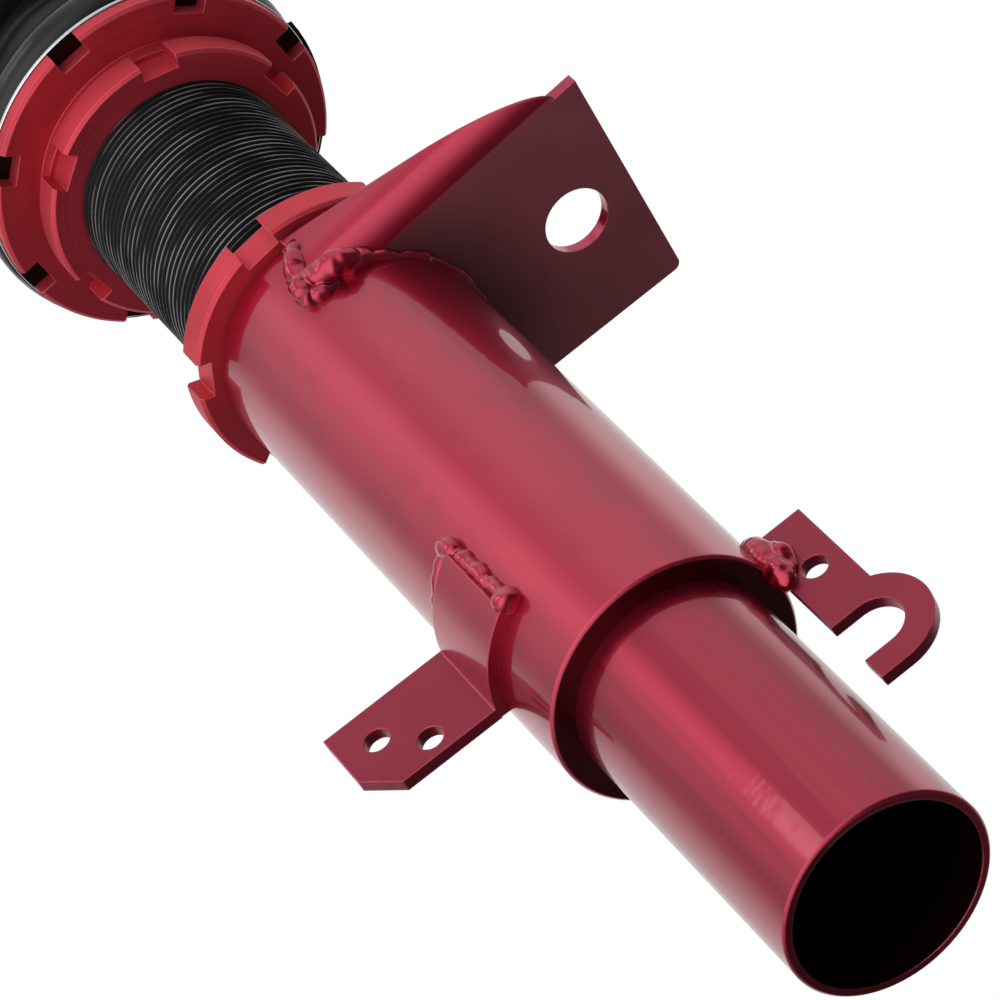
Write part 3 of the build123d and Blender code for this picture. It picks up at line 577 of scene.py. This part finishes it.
def metal(name, base, rough, metallic=1.0, density=1600.0):
    """Ground, plated or polished metal with turning marks."""
    material, nodes, shader = blank_finish(name, Metallic=metallic, Roughness=rough)
    marks = group(nodes, "marks", density=density, streak=7.0)
    clouds = nodes.ramp(group(nodes, "grain", grain_scale=2500.0, cloud_scale=90.0)["Clouds"], 0.3, 0.7)
    edge_wear_and_sheen = group(nodes, "edge_wear_and_sheen", radius=0.3 * MM, breakup=0.4)["Mask"]
    tone = nodes.mix(clouds, rgba(base, 0.82), rgba(base, 1.08))
    # edges lightened, partly as wear and partly as painted highlight
    tone = nodes.mix(nodes.times(edge_wear_and_sheen, 0.5), tone, rgba(base, 1.3))
    low = max(0.02, rough - 0.05)
    rough_marks = nodes.ramp(marks["Height"], 0.2, 0.8, low, rough + 0.08)
    feed(nodes, shader, tone, rough_marks, bump(nodes, marks["Height"], 0.01 * MM))
    return material


def rubber(name):
    """Matt black rubber with a moulded grain and pale dust."""
    material, nodes, shader = blank_finish(name, Roughness=0.6)
    base = looks().colours.rubber
    grain = group(nodes, "grain", grain_scale=1800.0, cloud_scale=45.0)
    specks = group(nodes, "specks", scale=1200.0, share=0.07)["Mask"]
    dusty = nodes.mix(nodes.ramp(grain["Clouds"], 0.45, 0.75), rgba(base), rgba((0.035, 0.034, 0.032)))
    tone = nodes.mix(specks, dusty, rgba((0.10, 0.10, 0.095)))
    rough = nodes.ramp(grain["Clouds"], 0.3, 0.7, 0.5, 0.72)
    feed(nodes, shader, tone, rough, bump(nodes, grain["Height"], 0.06 * MM))
    return material


def foam(name):
    """Microcellular foam: matt, slightly mottled and full of fine pores."""
    material, nodes, shader = blank_finish(name, Roughness=0.8)
    base = looks().colours.foam
    grain = group(nodes, "grain", grain_scale=1500.0, cloud_scale=120.0)
    pores = group(nodes, "specks", scale=1300.0, share=0.25)["Mask"]
    tone = nodes.mix(nodes.ramp(grain["Clouds"], 0.3, 0.7), rgba(base, 0.85), rgba(base, 1.1))
    tone = nodes.mix(pores, tone, rgba(base, 0.5))
    rough = nodes.ramp(grain["Height"], 0.3, 0.7, 0.72, 0.9)
    feed(nodes, shader, tone, rough, bump(nodes, grain["Height"], 0.1 * MM))
    return material


FINISHES = {
    "candy_red_paint": lambda name: candy_red(name, "sleeve"),
    "red_anodised": lambda name: anodised(name, looks().colours.anodised),
    "black_anodised": lambda name: anodised(name, (0.03, 0.03, 0.032)),
    "black_thread": thread_black,
    "spring_black": spring_gloss,
    "bright_steel": lambda name: metal(name, looks().colours.steel, 0.22),
    "zinc_steel": lambda name: metal(name, (0.55, 0.56, 0.58), 0.34),
    "chrome_rod": lambda name: metal(name, (0.78, 0.78, 0.80), 0.07, density=2600.0),
    "black_rubber": rubber,
    "bump_foam": foam,
    "bearing_bronze": lambda name: metal(name, (0.60, 0.36, 0.15), 0.3),
    "ptfe": lambda name: metal(name, (0.05, 0.09, 0.08), 0.5, metallic=0.0),
}
PAINTED = {
    "spigot_tube": "spigot", "link_plate": "plate", "abs_bracket": "tab", "hose_hook_bracket": "hook"}
made_finishes = {}


def finish_of(slot):
    """The finish of a material slot, made the first time it is asked for."""
    if slot not in made_finishes:
        made_finishes[slot] = FINISHES[slot](slot + "_finish")
    return made_finishes[slot]


def weld_finish():
    """The paint over the welds, made once."""
    if "weld" not in made_finishes:
        made_finishes["weld"] = candy_red("candy_red_welds", "weld")
    return made_finishes["weld"]


# Meshes


def dress(mesh, material):
    """Gives a mesh its one material."""
    mesh.materials.clear()
    mesh.materials.append(material)


def add_piece(name, mesh, body, slot, stands_for=(), material=None):
    """Links a finished mesh as a piece on its body, in the finish of its slot."""
    dress(mesh, material or finish_of(slot))
    piece = bpy.data.objects.new(name, mesh)
    bpy.context.scene.collection.objects.link(piece)
    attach(piece, body)
    if stands_for:
        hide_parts(*stands_for)
    return piece


def grown(tree, values, mesh=None):
    """The plain mesh that a Geometry Nodes tree makes, with the holder and its modifier gone."""
    holder = bpy.data.objects.new("holder", mesh or bpy.data.meshes.new("holder"))
    bpy.context.scene.collection.objects.link(holder)
    modifier = holder.modifiers.new("Grow", "NODES")
    modifier.node_group = tree
    for item in tree.interface.items_tree:
        if item.in_out == "INPUT" and item.name in values:
            modifier[item.identifier] = values[item.name]
    depsgraph = bpy.context.evaluated_depsgraph_get()
    result = bpy.data.meshes.new_from_object(holder.evaluated_get(depsgraph), depsgraph=depsgraph)
    holder.modifiers.remove(modifier)
    bpy.data.objects.remove(holder)
    if not result.polygons:
        raise RuntimeError(f"{tree.name} made no faces")
    return result


def tidy_mesh(mesh, smooth_angle=35.0):
    """Merges doubles, points the faces outwards and shades smooth up to an angle."""
    shape = bmesh.new()
    shape.from_mesh(mesh)
    bmesh.ops.remove_doubles(shape, verts=shape.verts, dist=MERGE)
    bmesh.ops.dissolve_degenerate(shape, edges=shape.edges, dist=SLIVER)
    loose = [edge for edge in shape.edges if not edge.link_faces]
    bmesh.ops.delete(shape, geom=loose, context="EDGES")
    bmesh.ops.recalc_face_normals(shape, faces=shape.faces)
    for face in shape.faces:
        face.smooth = True
    for edge in shape.edges:
        edge.smooth = edge.is_manifold and edge.calc_face_angle(0.0) < radians(smooth_angle)
    shape.to_mesh(mesh)
    shape.free()
    return mesh


def close_ends(mesh, bore):
    """Closes the two open ends of a turned skin: with a wall at the bore, or with flat caps."""
    shape = bmesh.new()
    shape.from_mesh(mesh)
    bmesh.ops.remove_doubles(shape, verts=shape.verts, dist=MERGE)
    bmesh.ops.dissolve_degenerate(shape, edges=shape.edges, dist=SLIVER)
    open_edges = [edge for edge in shape.edges if edge.is_boundary]
    if bore:
        grown_out = bmesh.ops.extrude_edge_only(shape, edges=open_edges)["geom"]
        for vertex in (item for item in grown_out if isinstance(item, bmesh.types.BMVert)):
            flat = Vector((vertex.co.x, vertex.co.y))
            vertex.co.x, vertex.co.y = flat * (bore / flat.length)
        inner = [item for item in grown_out if isinstance(item, bmesh.types.BMEdge) and item.is_boundary]
        bmesh.ops.bridge_loops(shape, edges=inner)
    else:
        bmesh.ops.holes_fill(shape, edges=open_edges, sides=0)
    shape.to_mesh(mesh)
    shape.free()
    return tidy_mesh(mesh)


def lathed(name, outline, segments, smooth_angle=35.0):
    """A closed solid of revolution about Z from (radius, height) points in metres."""
    rings = len(outline)
    points = []
    for step in range(segments):
        turn = 2 * pi * step / segments
        points += [(radius * cos(turn), radius * sin(turn), height) for radius, height in outline]
    faces = []
    for step in range(segments):
        here = step * rings
        there = ((step + 1) % segments) * rings
        for ring in range(rings):
            above = (ring + 1) % rings
            faces.append((here + ring, there + ring, there + above, here + above))
    mesh = bpy.data.meshes.new(name)
    mesh.from_pydata(points, [], faces)
    return tidy_mesh(mesh, smooth_angle)


# Threads


def end_tree(tree, nodes, geometry, given, out):
    """Makes a tree's shape real, gives it its finish and puts it out."""
    whole = nodes.out("GeometryNodeRealizeInstances", {"Geometry": geometry})
    finished = nodes.out("GeometryNodeSetMaterial", {"Geometry": whole, "Material": given["Finish"]})
    tree.links.new(finished, out["Mesh"])
    return tree


def round_axis(nodes, radius, turn, height):
    """A point at a distance from the axis, an angle round it and a height."""
    return nodes.xyz(nodes.times(radius, nodes.math("COSINE", turn)),
                     nodes.times(radius, nodes.math("SINE", turn)), height)


def thread_tree():
    """A helical thread as one skin: a sheared grid whose rows are the crests and roots."""
    tree, nodes, given, out = tree_with(
        "GeometryNodeTree", "Cut Thread",
        {"Crest Radius": 0.0265, "Depth": 0.001, "Pitch": 0.002, "Low": 0.0, "High": 0.1, "Columns": 96,
         "Finish": "NodeSocketMaterial"},
        {"Mesh": "NodeSocketGeometry"})
    tall = nodes.minus(given["High"], given["Low"])
    turns = nodes.plus(2.0, nodes.over(tall, given["Pitch"]))
    rows = nodes.times(nodes.math("CEIL", turns), 4.0)
    grid = nodes.out("GeometryNodeMeshGrid", {
        "Size X": 1.0, "Size Y": 1.0, "Vertices X": nodes.plus(given["Columns"], 1.0), "Vertices Y": rows})
    place = nodes.parts(nodes.out("GeometryNodeInputPosition"))
    across = nodes.plus(place[0], 0.5)
    row = nodes.math("ROUND", nodes.times(nodes.plus(place[1], 0.5), nodes.minus(rows, 1.0)))
    part = nodes.math("FLOORED_MODULO", row, 4.0)
    is_root = nodes.math("GREATER_THAN", part, 1.5)
    is_second = nodes.math("FLOORED_MODULO", part, 2.0)
    offset = nodes.plus(nodes.times(is_root, 0.5), nodes.times(is_second, 0.14))
    whole = nodes.math("FLOOR", nodes.over(row, 4.0))
    lift = nodes.minus(nodes.plus(nodes.plus(whole, offset), across), 1.0)
    height = nodes.plus(given["Low"], nodes.times(lift, given["Pitch"]))
    inside = nodes.times(nodes.math("GREATER_THAN", height, given["Low"]),
                         nodes.math("LESS_THAN", height, given["High"]))
    on_crest = nodes.times(inside, nodes.minus(1.0, is_root))
    radius = nodes.minus(given["Crest Radius"], nodes.times(nodes.minus(1.0, on_crest), given["Depth"]))
    held = nodes.math("MINIMUM", nodes.math("MAXIMUM", height, given["Low"]), given["High"])
    wound = round_axis(nodes, radius, nodes.times(across, 2 * pi), held)
    moved = nodes.out("GeometryNodeSetPosition", {"Geometry": grid, "Position": wound})
    merged = nodes.out("GeometryNodeMergeByDistance", {"Geometry": moved, "Distance": MERGE})
    return end_tree(tree, nodes, merged, given, out)


def made_tree(name, maker):
    """A Geometry Nodes tree by name, made the first time it is asked for."""
    return bpy.data.node_groups.get(name) or maker()


def thread_mesh(crest, depth, pitch, low, high, columns, finish, bore=0.0):
    """A threaded bar or tube as one closed mesh."""
    tree = made_tree("Cut Thread", thread_tree)
    skin = grown(tree, {"Crest Radius": crest, "Depth": depth, "Pitch": pitch, "Low": low, "High": high,
                        "Columns": columns, "Finish": finish})
    return close_ends(skin, bore)


def moved_copy(mesh, offset):
    """A copy of a mesh, moved in its own vertices."""
    copy = mesh.copy()
    copy.transform(Matrix.Translation(offset))
    return copy


def joined(name, meshes):
    """Several meshes as one."""
    shape = bmesh.new()
    for mesh in meshes:
        shape.from_mesh(mesh)
    result = bpy.data.meshes.new(name)
    shape.to_mesh(result)
    shape.free()
    return tidy_mesh(result)


# Spring


def spring_tree():
    """A wound spring with closed and ground ends."""
    tree, nodes, given, out = tree_with(
        "GeometryNodeTree", "Wound Spring",
        {"Wire Radius": 0.006, "Coil Radius": 0.0385, "Low": 0.0, "High": 0.19, "Turns": 6.5,
         "Closed Turns": 1.0, "Steps Per Turn": 72, "Sides": 28, "Finish": "NodeSocketMaterial"},
        {"Mesh": "NodeSocketGeometry"})
    steps = nodes.times(given["Turns"], given["Steps Per Turn"])
    line = nodes.out("GeometryNodeMeshLine", {"Count": nodes.plus(steps, 1.0)})
    turn = nodes.over(nodes.out("GeometryNodeInputIndex"), given["Steps Per Turn"])
    wire = nodes.times(given["Wire Radius"], 2.0)
    active = nodes.minus(given["Turns"], nodes.times(given["Closed Turns"], 2.0))
    close = nodes.times(wire, given["Turns"])
    room = nodes.plus(nodes.minus(given["High"], given["Low"]), given["Wire Radius"])
    extra = nodes.over(nodes.minus(room, close), active)
    begun = nodes.math("SMOOTH_MAX", nodes.minus(turn, given["Closed Turns"]), 0.0, 0.25)
    opened = nodes.math("SMOOTH_MIN", begun, active, 0.25)
    start = nodes.minus(given["Low"], nodes.times(given["Wire Radius"], 0.5))
    height = nodes.plus(nodes.plus(start, nodes.times(wire, turn)), nodes.times(extra, opened))
    wound = round_axis(nodes, given["Coil Radius"], nodes.times(turn, 2 * pi), height)
    moved = nodes.out("GeometryNodeSetPosition", {"Geometry": line, "Position": wound})
    path = nodes.out("GeometryNodeMeshToCurve", {"Mesh": moved})
    ring = nodes.out("GeometryNodeCurvePrimitiveCircle", {
        "Resolution": given["Sides"], "Radius": given["Wire Radius"]})
    swept = nodes.out("GeometryNodeCurveToMesh", {"Curve": path, "Profile Curve": ring, "Fill Caps": True})
    parts = nodes.parts(nodes.out("GeometryNodeInputPosition"))
    ground = nodes.math("MINIMUM", nodes.math("MAXIMUM", parts[2], given["Low"]), given["High"])
    flat = nodes.out("GeometryNodeSetPosition", {
        "Geometry": swept, "Position": nodes.xyz(parts[0], parts[1], ground)})
    return end_tree(tree, nodes, flat, given, out)


# Weld beads


def weld_tree():
    """A weld bead along a path: tapered at its ends, rippled along its length and lumpy."""
    tree, nodes, given, out = tree_with(
        "GeometryNodeTree", "Weld Bead",
        {"Path": "NodeSocketGeometry", "Bead Radius": 0.002, "Ripple Pitch": 0.0019, "Ripple Height": 0.1,
         "Lump Size": 0.004, "Lump Height": 0.001, "Seed": 1.0, "Finish": "NodeSocketMaterial"},
        {"Mesh": "NodeSocketGeometry"})
    curve = nodes.out("GeometryNodeMeshToCurve", {"Mesh": given["Path"]})
    soft = nodes.out("GeometryNodeCurveSplineType", {"Curve": curve}, spline_type="CATMULL_ROM")
    even = nodes.out("GeometryNodeResampleCurve", {"Curve": soft, "Length": 0.3 * MM}, mode="LENGTH")
    along = nodes.add("GeometryNodeSplineParameter").outputs
    arch = nodes.math("SINE", nodes.times(along["Factor"], pi))
    taper = nodes.math("POWER", nodes.math("MAXIMUM", arch, 0.02), 0.4)
    wave = nodes.math("SINE", nodes.times(along["Length"], nodes.over(2 * pi, given["Ripple Pitch"])))
    ripple = nodes.plus(1.0, nodes.times(wave, given["Ripple Height"]))
    width = nodes.times(given["Bead Radius"], nodes.times(taper, ripple))
    ring = nodes.out("GeometryNodeCurvePrimitiveCircle", {"Resolution": 28, "Radius": 1.0})
    swept = nodes.out("GeometryNodeCurveToMesh", {
        "Curve": even, "Profile Curve": ring, "Scale": width, "Fill Caps": True})
    scale = nodes.over(1.0, given["Lump Size"])
    lumps = nodes.out("ShaderNodeTexNoise", {
        "W": given["Seed"], "Scale": scale, "Detail": 0.8}, noise_dimensions="4D")
    raised = nodes.times(nodes.minus(lumps, 0.45), nodes.times(given["Lump Height"], 2.0))
    push = nodes.out("ShaderNodeVectorMath", {
        0: nodes.out("GeometryNodeInputNormal"), "Scale": raised}, operation="SCALE")
    lumpy = nodes.out("GeometryNodeSetPosition", {"Geometry": swept, "Offset": push})
    return end_tree(tree, nodes, lumpy, given, out)


def bead(path, radius, seed):
    """One weld bead along a path of points in millimetres."""
    holder = bpy.data.meshes.new("weld_path")
    points = [Vector(point) * MM for point in path]
    holder.from_pydata(points, [(step, step + 1) for step in range(len(points) - 1)], [])
    welds = looks().welds
    return grown(made_tree("Weld Bead", weld_tree), {
        "Bead Radius": radius * MM, "Ripple Pitch": welds.ripple_pitch, "Ripple Height": welds.ripple_height,
        "Lump Size": welds.lump_size, "Lump Height": welds.lump_height, "Seed": float(seed),
        "Finish": weld_finish()}, holder)


def round_sleeve(start, end, height, rise, steps, proud=0.0):
    """Points round the sleeve between two angles in degrees, in millimetres."""
    points = []
    for step in range(steps + 1):
        part = step / steps
        angle = radians(start + (end - start) * part)
        radius = SLEEVE_R / MM + proud
        points.append((radius * cos(angle), radius * sin(angle), height + rise * part))
    return points


# Operators


class COILOVER_OT_finishes(bpy.types.Operator):
    """Gives every CAD node the finish of its material slot"""

    bl_idname = "coilover.finishes"
    bl_label = "CAD Finishes"

    def execute(self, context):
        slots = {part["node"]: part["material_slot"] for part in frame["record"]["subparts"]}
        for name, node in frame["nodes"].items():
            dress(node.data, finish_of(slots[name]))
            node.data.update()
        for name, kind in PAINTED.items():
            frame["nodes"][name].data.materials[0] = candy_red("candy_red_" + name, kind)
        frame["nodes"]["perch_washer"].data.materials[0] = washer_steel("washer_finish")
        return {"FINISHED"}


class COILOVER_OT_threads(bpy.types.Operator):
    """Cuts the threads of the damper body, the tower studs and the rod end"""

    bl_idname = "coilover.threads"
    bl_label = "Threads"

    def execute(self, context):
        sizes = looks().threads
        body = thread_mesh(THREAD_R, sizes.body_depth, sizes.body_pitch, BODY_LOW, BODY_HIGH,
                           sizes.body_columns, finish_of("black_thread"), sizes.body_bore)
        add_piece("damper_thread", body, "damper_body", "black_thread", ["threaded_body"])
        self.studs(sizes)
        rod = thread_mesh(sizes.rod_radius, sizes.rod_depth, sizes.rod_pitch, NUT_HIGH - MM,
                          ROD_HIGH - 0.4 * MM, sizes.small_columns, finish_of("zinc_steel"))
        add_piece("rod_end_thread", rod, "rod", "zinc_steel")
        return {"FINISHED"}

    def studs(self, sizes):
        """Three studs with round heads pressed into the plate."""
        radius = sizes.stud_radius
        head = sizes.stud_head
        edge = 0.6 * MM
        head_top = STUD_LOW + 3.0 * MM
        screw = thread_mesh(radius, sizes.stud_depth, sizes.stud_pitch, PLATE_TOP - 2 * MM, STUD_HIGH - MM,
                            sizes.small_columns, finish_of("zinc_steel"))
        point = radius - sizes.stud_depth
        shank = lathed("shank", [
            (0.0, STUD_LOW), (head - edge, STUD_LOW), (head, STUD_LOW + edge), (head, head_top),
            (radius, head_top), (radius, PLATE_TOP - 1.5 * MM), (point, PLATE_TOP - MM),
            (point, STUD_HIGH - edge), (point - edge, STUD_HIGH), (0.0, STUD_HIGH)], 48)
        meshes = []
        for index in range(3):
            angle = radians(90 + 120 * index)
            offset = (sizes.stud_circle * cos(angle), sizes.stud_circle * sin(angle), 0.0)
            meshes += [moved_copy(screw, offset), moved_copy(shank, offset)]
        add_piece("threaded_studs", joined("threaded_studs", meshes), "top_mount", "zinc_steel",
                  ["mounting_studs"])


class COILOVER_OT_spring(bpy.types.Operator):
    """Winds the coil spring with closed and ground ends"""

    bl_idname = "coilover.spring"
    bl_label = "Coil Spring"

    def execute(self, context):
        sizes = looks().soft
        outer = reach("coil_spring")
        mesh = grown(made_tree("Wound Spring", spring_tree), {
            "Wire Radius": sizes.wire_radius, "Coil Radius": outer - sizes.wire_radius,
            "Low": SPRING_LOW, "High": SPRING_HIGH, "Turns": sizes.turns,
            "Closed Turns": sizes.closed_turns, "Finish": finish_of("spring_black")})
        spring = add_piece("wound_spring", tidy_mesh(mesh, 50.0), "perch", "spring_black", ["coil_spring"])
        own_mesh(spring)
        return {"FINISHED"}


class COILOVER_OT_bellows(bpy.types.Operator):
    """Moulds the dust bellows and the foam bump stop inside the spring"""

    bl_idname = "coilover.bellows"
    bl_label = "Bellows and Bump Stop"

    def execute(self, context):
        sizes = looks().soft
        self.boot(sizes)
        self.bump_stop(sizes)
        return {"FINISHED"}

    def boot(self, sizes):
        """Rounded folds, drawn as a cosine, hung from a flange under the spring seat."""
        middle = BOOT_R - sizes.fold_depth / 2
        steps = 10
        folds = int((BOOT_HIGH - BOOT_LOW) / sizes.fold_pitch)
        pitch = (BOOT_HIGH - BOOT_LOW) / folds
        outside = []
        for step in range(folds * steps + 1):
            swell = -cos(2 * pi * step / steps) * sizes.fold_depth / 2
            outside.append((middle + swell, BOOT_LOW + step * pitch / steps))
        inside = [(radius - sizes.boot_wall, height) for radius, height in outside]
        under = BOOT_HIGH - sizes.boot_flange
        inside[-1] = (inside[-1][0], under)
        flange = [(sizes.boot_bore, BOOT_HIGH), (sizes.boot_bore, under)]
        mesh = lathed("dust_bellows", outside + flange + inside[::-1], 96, 60.0)
        piece = add_piece("dust_bellows", mesh, "rod", "black_rubber", ["dust_boot"])
        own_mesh(piece)

    def bump_stop(self, sizes):
        """Rounded rolls of foam with narrow waists between them."""
        steps = 14
        tall = BUMP_HIGH - BUMP_LOW
        outside = []
        for step in range(sizes.rolls * steps + 1):
            part = step / (sizes.rolls * steps)
            roll = abs(sin(pi * sizes.rolls * part)) ** 0.45
            widest = sizes.bump_nose + (BUMP_R - sizes.bump_nose) * part ** 0.5
            outside.append((sizes.bump_waist + (widest - sizes.bump_waist) * roll, BUMP_LOW + tall * part))
        bore = [(sizes.bump_bore, BUMP_LOW)]
        mesh = lathed("foam_bump_stop", bore + outside + [(sizes.bump_bore, BUMP_HIGH)], 72, 70.0)
        piece = add_piece("foam_bump_stop", mesh, "rod", "bump_foam", ["bump_stop"])


class COILOVER_OT_welds(bpy.types.Operator):
    """Lays the weld beads that hold the three brackets to the sleeve"""

    bl_idname = "coilover.welds"
    bl_label = "Weld Beads"

    def execute(self, context):
        plate = LINK_LOW / MM
        paths = [
            ([(7.5, -30.6, 227.5), (5.0, -31.4, 223.0), (3.0, -31.2, 218.0), (2.0, -30.2, 213.0)], 2.5, 1),
            ([(3.4, -30.8, 221.0), (1.4, -29.8, 213.5), (1.8, -29.0, 208.5)], 3.0, 11),
            ([(2.0, -30.4, 215.5), (6.0, -30.6, 214.0), (11.0, -29.6, 212.8), (15.0, -27.0, 212.6)], 3.0, 3),
            (round_sleeve(-92, -72, plate - 2.6, 0.8, 5, -0.2), 2.6, 2),
            (round_sleeve(-72, -48, plate - 0.4, 0.6, 6, 0.4), 2.9, 13),
            (round_sleeve(-60, -38, plate - 0.3, 0.3, 6, 0.1), 2.0, 4),
            (round_sleeve(-50, 60, plate - 0.2, 0.0, 24, 0.0), 1.2, 5),
            (round_sleeve(-115.8, -118, 102.5, 11.0, 5, 0.2), 2.1, 6),
            (round_sleeve(-117.5, -119.0, 110.0, 18.0, 5, 0.0), 2.1, 16),
            (round_sleeve(-115.2, -116.5, 100.5, 5.0, 4, 0.9), 2.6, 17),
            (round_sleeve(-118.2, -121.0, 124.0, 6.0, 4, 0.5), 2.5, 7),
            (round_sleeve(-121, -150, 128.0, -2.0, 6, 0.4), 1.4, 9),
            ([(29.4, -2.4, 74.5), (29.6, -2.6, 80.0), (29.8, -2.6, 86.0), (29.6, -2.2, 91.5)], 3.4, 8),
            ([(31.8, -1.4, 77.0), (32.2, -1.6, 82.0), (31.6, -1.4, 88.0)], 2.5, 18),
            ([(30.2, 3.6, 77.0), (30.0, 3.8, 84.0), (30.1, 3.6, 91.0)], 2.2, 19),
        ]
        mesh = joined("weld_beads", [bead(*path) for path in paths])
        add_piece("weld_beads", mesh, "bracket", "candy_red_paint", material=weld_finish())
        return {"FINISHED"}


class COILOVER_OT_stage(bpy.types.Operator):
    """Sets the camera, the pale floor and the soft studio light"""

    bl_idname = "coilover.stage"
    bl_label = "Studio"

    def execute(self, context):
        stage = looks().stage
        self.camera(context, stage)
        self.floor(context, stage)
        self.light(context, stage)
        context.scene.view_settings.view_transform = "Standard"
        return {"FINISHED"}

    def camera(self, context, stage):
        data = bpy.data.cameras.new("camera")
        data.lens = stage.lens
        camera = bpy.data.objects.new("camera", data)
        camera.location = stage.camera_place
        camera.rotation_euler = stage.camera_turn
        context.scene.collection.objects.link(camera)
        context.scene.camera = camera

    def floor(self, context, stage):
        """A pale floor that is clear from below and throws no light back."""
        half = stage.floor_size / 2
        low = cad_box[0].z
        mesh = bpy.data.meshes.new("floor")
        corners = [(-half, -half, low), (half, -half, low), (half, half, low), (-half, half, low)]
        mesh.from_pydata(corners, [], [(0, 1, 2, 3)])
        material, nodes, shader = blank_finish("floor", Roughness=0.9)
        place = nodes.place()
        tone = nodes.mix(nodes.noise(place, 3.0, 2.0), (0.80, 0.80, 0.79, 1.0), (0.84, 0.84, 0.83, 1.0))
        link(nodes, tone, shader, "Base Color")
        clear = nodes.out("ShaderNodeBsdfTransparent")
        under = nodes.add("ShaderNodeNewGeometry").outputs["Backfacing"]
        mixed = nodes.out("ShaderNodeMixShader", {0: under, 1: shader.outputs[0], 2: clear})
        output = material.node_tree.nodes["Material Output"]
        nodes.tree.links.new(mixed, output.inputs["Surface"])
        mesh.materials.append(material)
        floor = bpy.data.objects.new("floor", mesh)
        context.scene.collection.objects.link(floor)
        floor.visible_diffuse = False
        floor.visible_glossy = False
        floor.visible_shadow = False

    def light(self, context, stage):
        """A white tent: bright walls with a few darker gaps, a dim floor and a white backdrop."""
        world = bpy.data.worlds.new("studio")
        context.scene.world = world
        world.use_nodes = True
        nodes = Nodes(world.node_tree)
        way = nodes.add("ShaderNodeTexCoord").outputs["Generated"]
        parts = nodes.parts(way)
        front = nodes.times(parts[1], -1.0)
        turn = nodes.math("ARCTAN2", parts[0], front)
        share_of_turn = nodes.plus(nodes.over(turn, 2 * pi), 0.5)
        walls = nodes.add("ShaderNodeValToRGB", {0: share_of_turn})
        walls.color_ramp.interpolation = "EASE"
        elements = walls.color_ramp.elements
        while len(elements) < len(WALLS):
            elements.new(0.5)
        for element, (place, value) in zip(elements, WALLS):
            element.position = place
            element.color = (value, value, value, 1.0)
        lit_side = nodes.minus(nodes.times(front, 0.8), nodes.times(parts[0], 0.6))
        below = nodes.ramp(lit_side, 0.0, 0.95, 0.09, 1.9)
        upper = nodes.ramp(parts[2], -0.12, 0.12)
        across = nodes.times(nodes.ramp(share_of_turn, 0.40, 0.425), nodes.ramp(share_of_turn, 0.486, 0.479))
        tall = nodes.times(nodes.ramp(parts[2], 0.45, 0.55), nodes.ramp(parts[2], 0.684, 0.674))
        lamp = nodes.times(nodes.times(across, tall), 1.9)
        lit = nodes.add("ShaderNodeVectorMath", {0: walls.outputs[0], 1: lamp}, operation="ADD").outputs[0]
        tent = nodes.mix(upper, below, lit)
        seen = nodes.add("ShaderNodeLightPath").outputs["Is Camera Ray"]
        shown = nodes.mix(seen, tent, (1.0, 1.0, 1.0, 1.0))
        background = world.node_tree.nodes["Background"]
        nodes.tree.links.new(shown, background.inputs["Color"])
        background.inputs["Strength"].default_value = stage.light


class COILOVER_PT_looks(bpy.types.Panel):
    """Lists the coilover's operators and sizes"""

    bl_label = "Coilover"
    bl_idname = "COILOVER_PT_looks"
    bl_space_type = "VIEW_3D"
    bl_region_type = "UI"
    bl_category = "Coilover"

    def draw(self, context):
        for operator in OPERATORS:
            self.layout.operator(operator.bl_idname)
        for part in (looks().threads, looks().soft, looks().welds, looks().colours, looks().stage):
            for name in part.__annotations__:
                self.layout.prop(part, name)


OPERATORS = (COILOVER_OT_finishes, COILOVER_OT_threads, COILOVER_OT_spring, COILOVER_OT_bellows,
             COILOVER_OT_welds, COILOVER_OT_stage)
GROUPS = (CoiloverThreads, CoiloverSoft, CoiloverWelds, CoiloverColours, CoiloverStage, CoiloverLooks)


def register():
    for kind in (*GROUPS, *OPERATORS, COILOVER_PT_looks):
        bpy.utils.register_class(kind)
    bpy.types.Scene.coilover_looks = bpy.props.PointerProperty(type=CoiloverLooks)


def unregister():
    del bpy.types.Scene.coilover_looks
    for kind in reversed((*GROUPS, *OPERATORS, COILOVER_PT_looks)):
        bpy.utils.unregister_class(kind)


def main():
    register()
    bpy.ops.coilover.finishes()
    bpy.ops.coilover.threads()
    bpy.ops.coilover.spring()
    bpy.ops.coilover.bellows()
    bpy.ops.coilover.welds()
    bpy.ops.coilover.stage()
    bpy.context.view_layer.update()


if __name__ == "__main__":
    main()
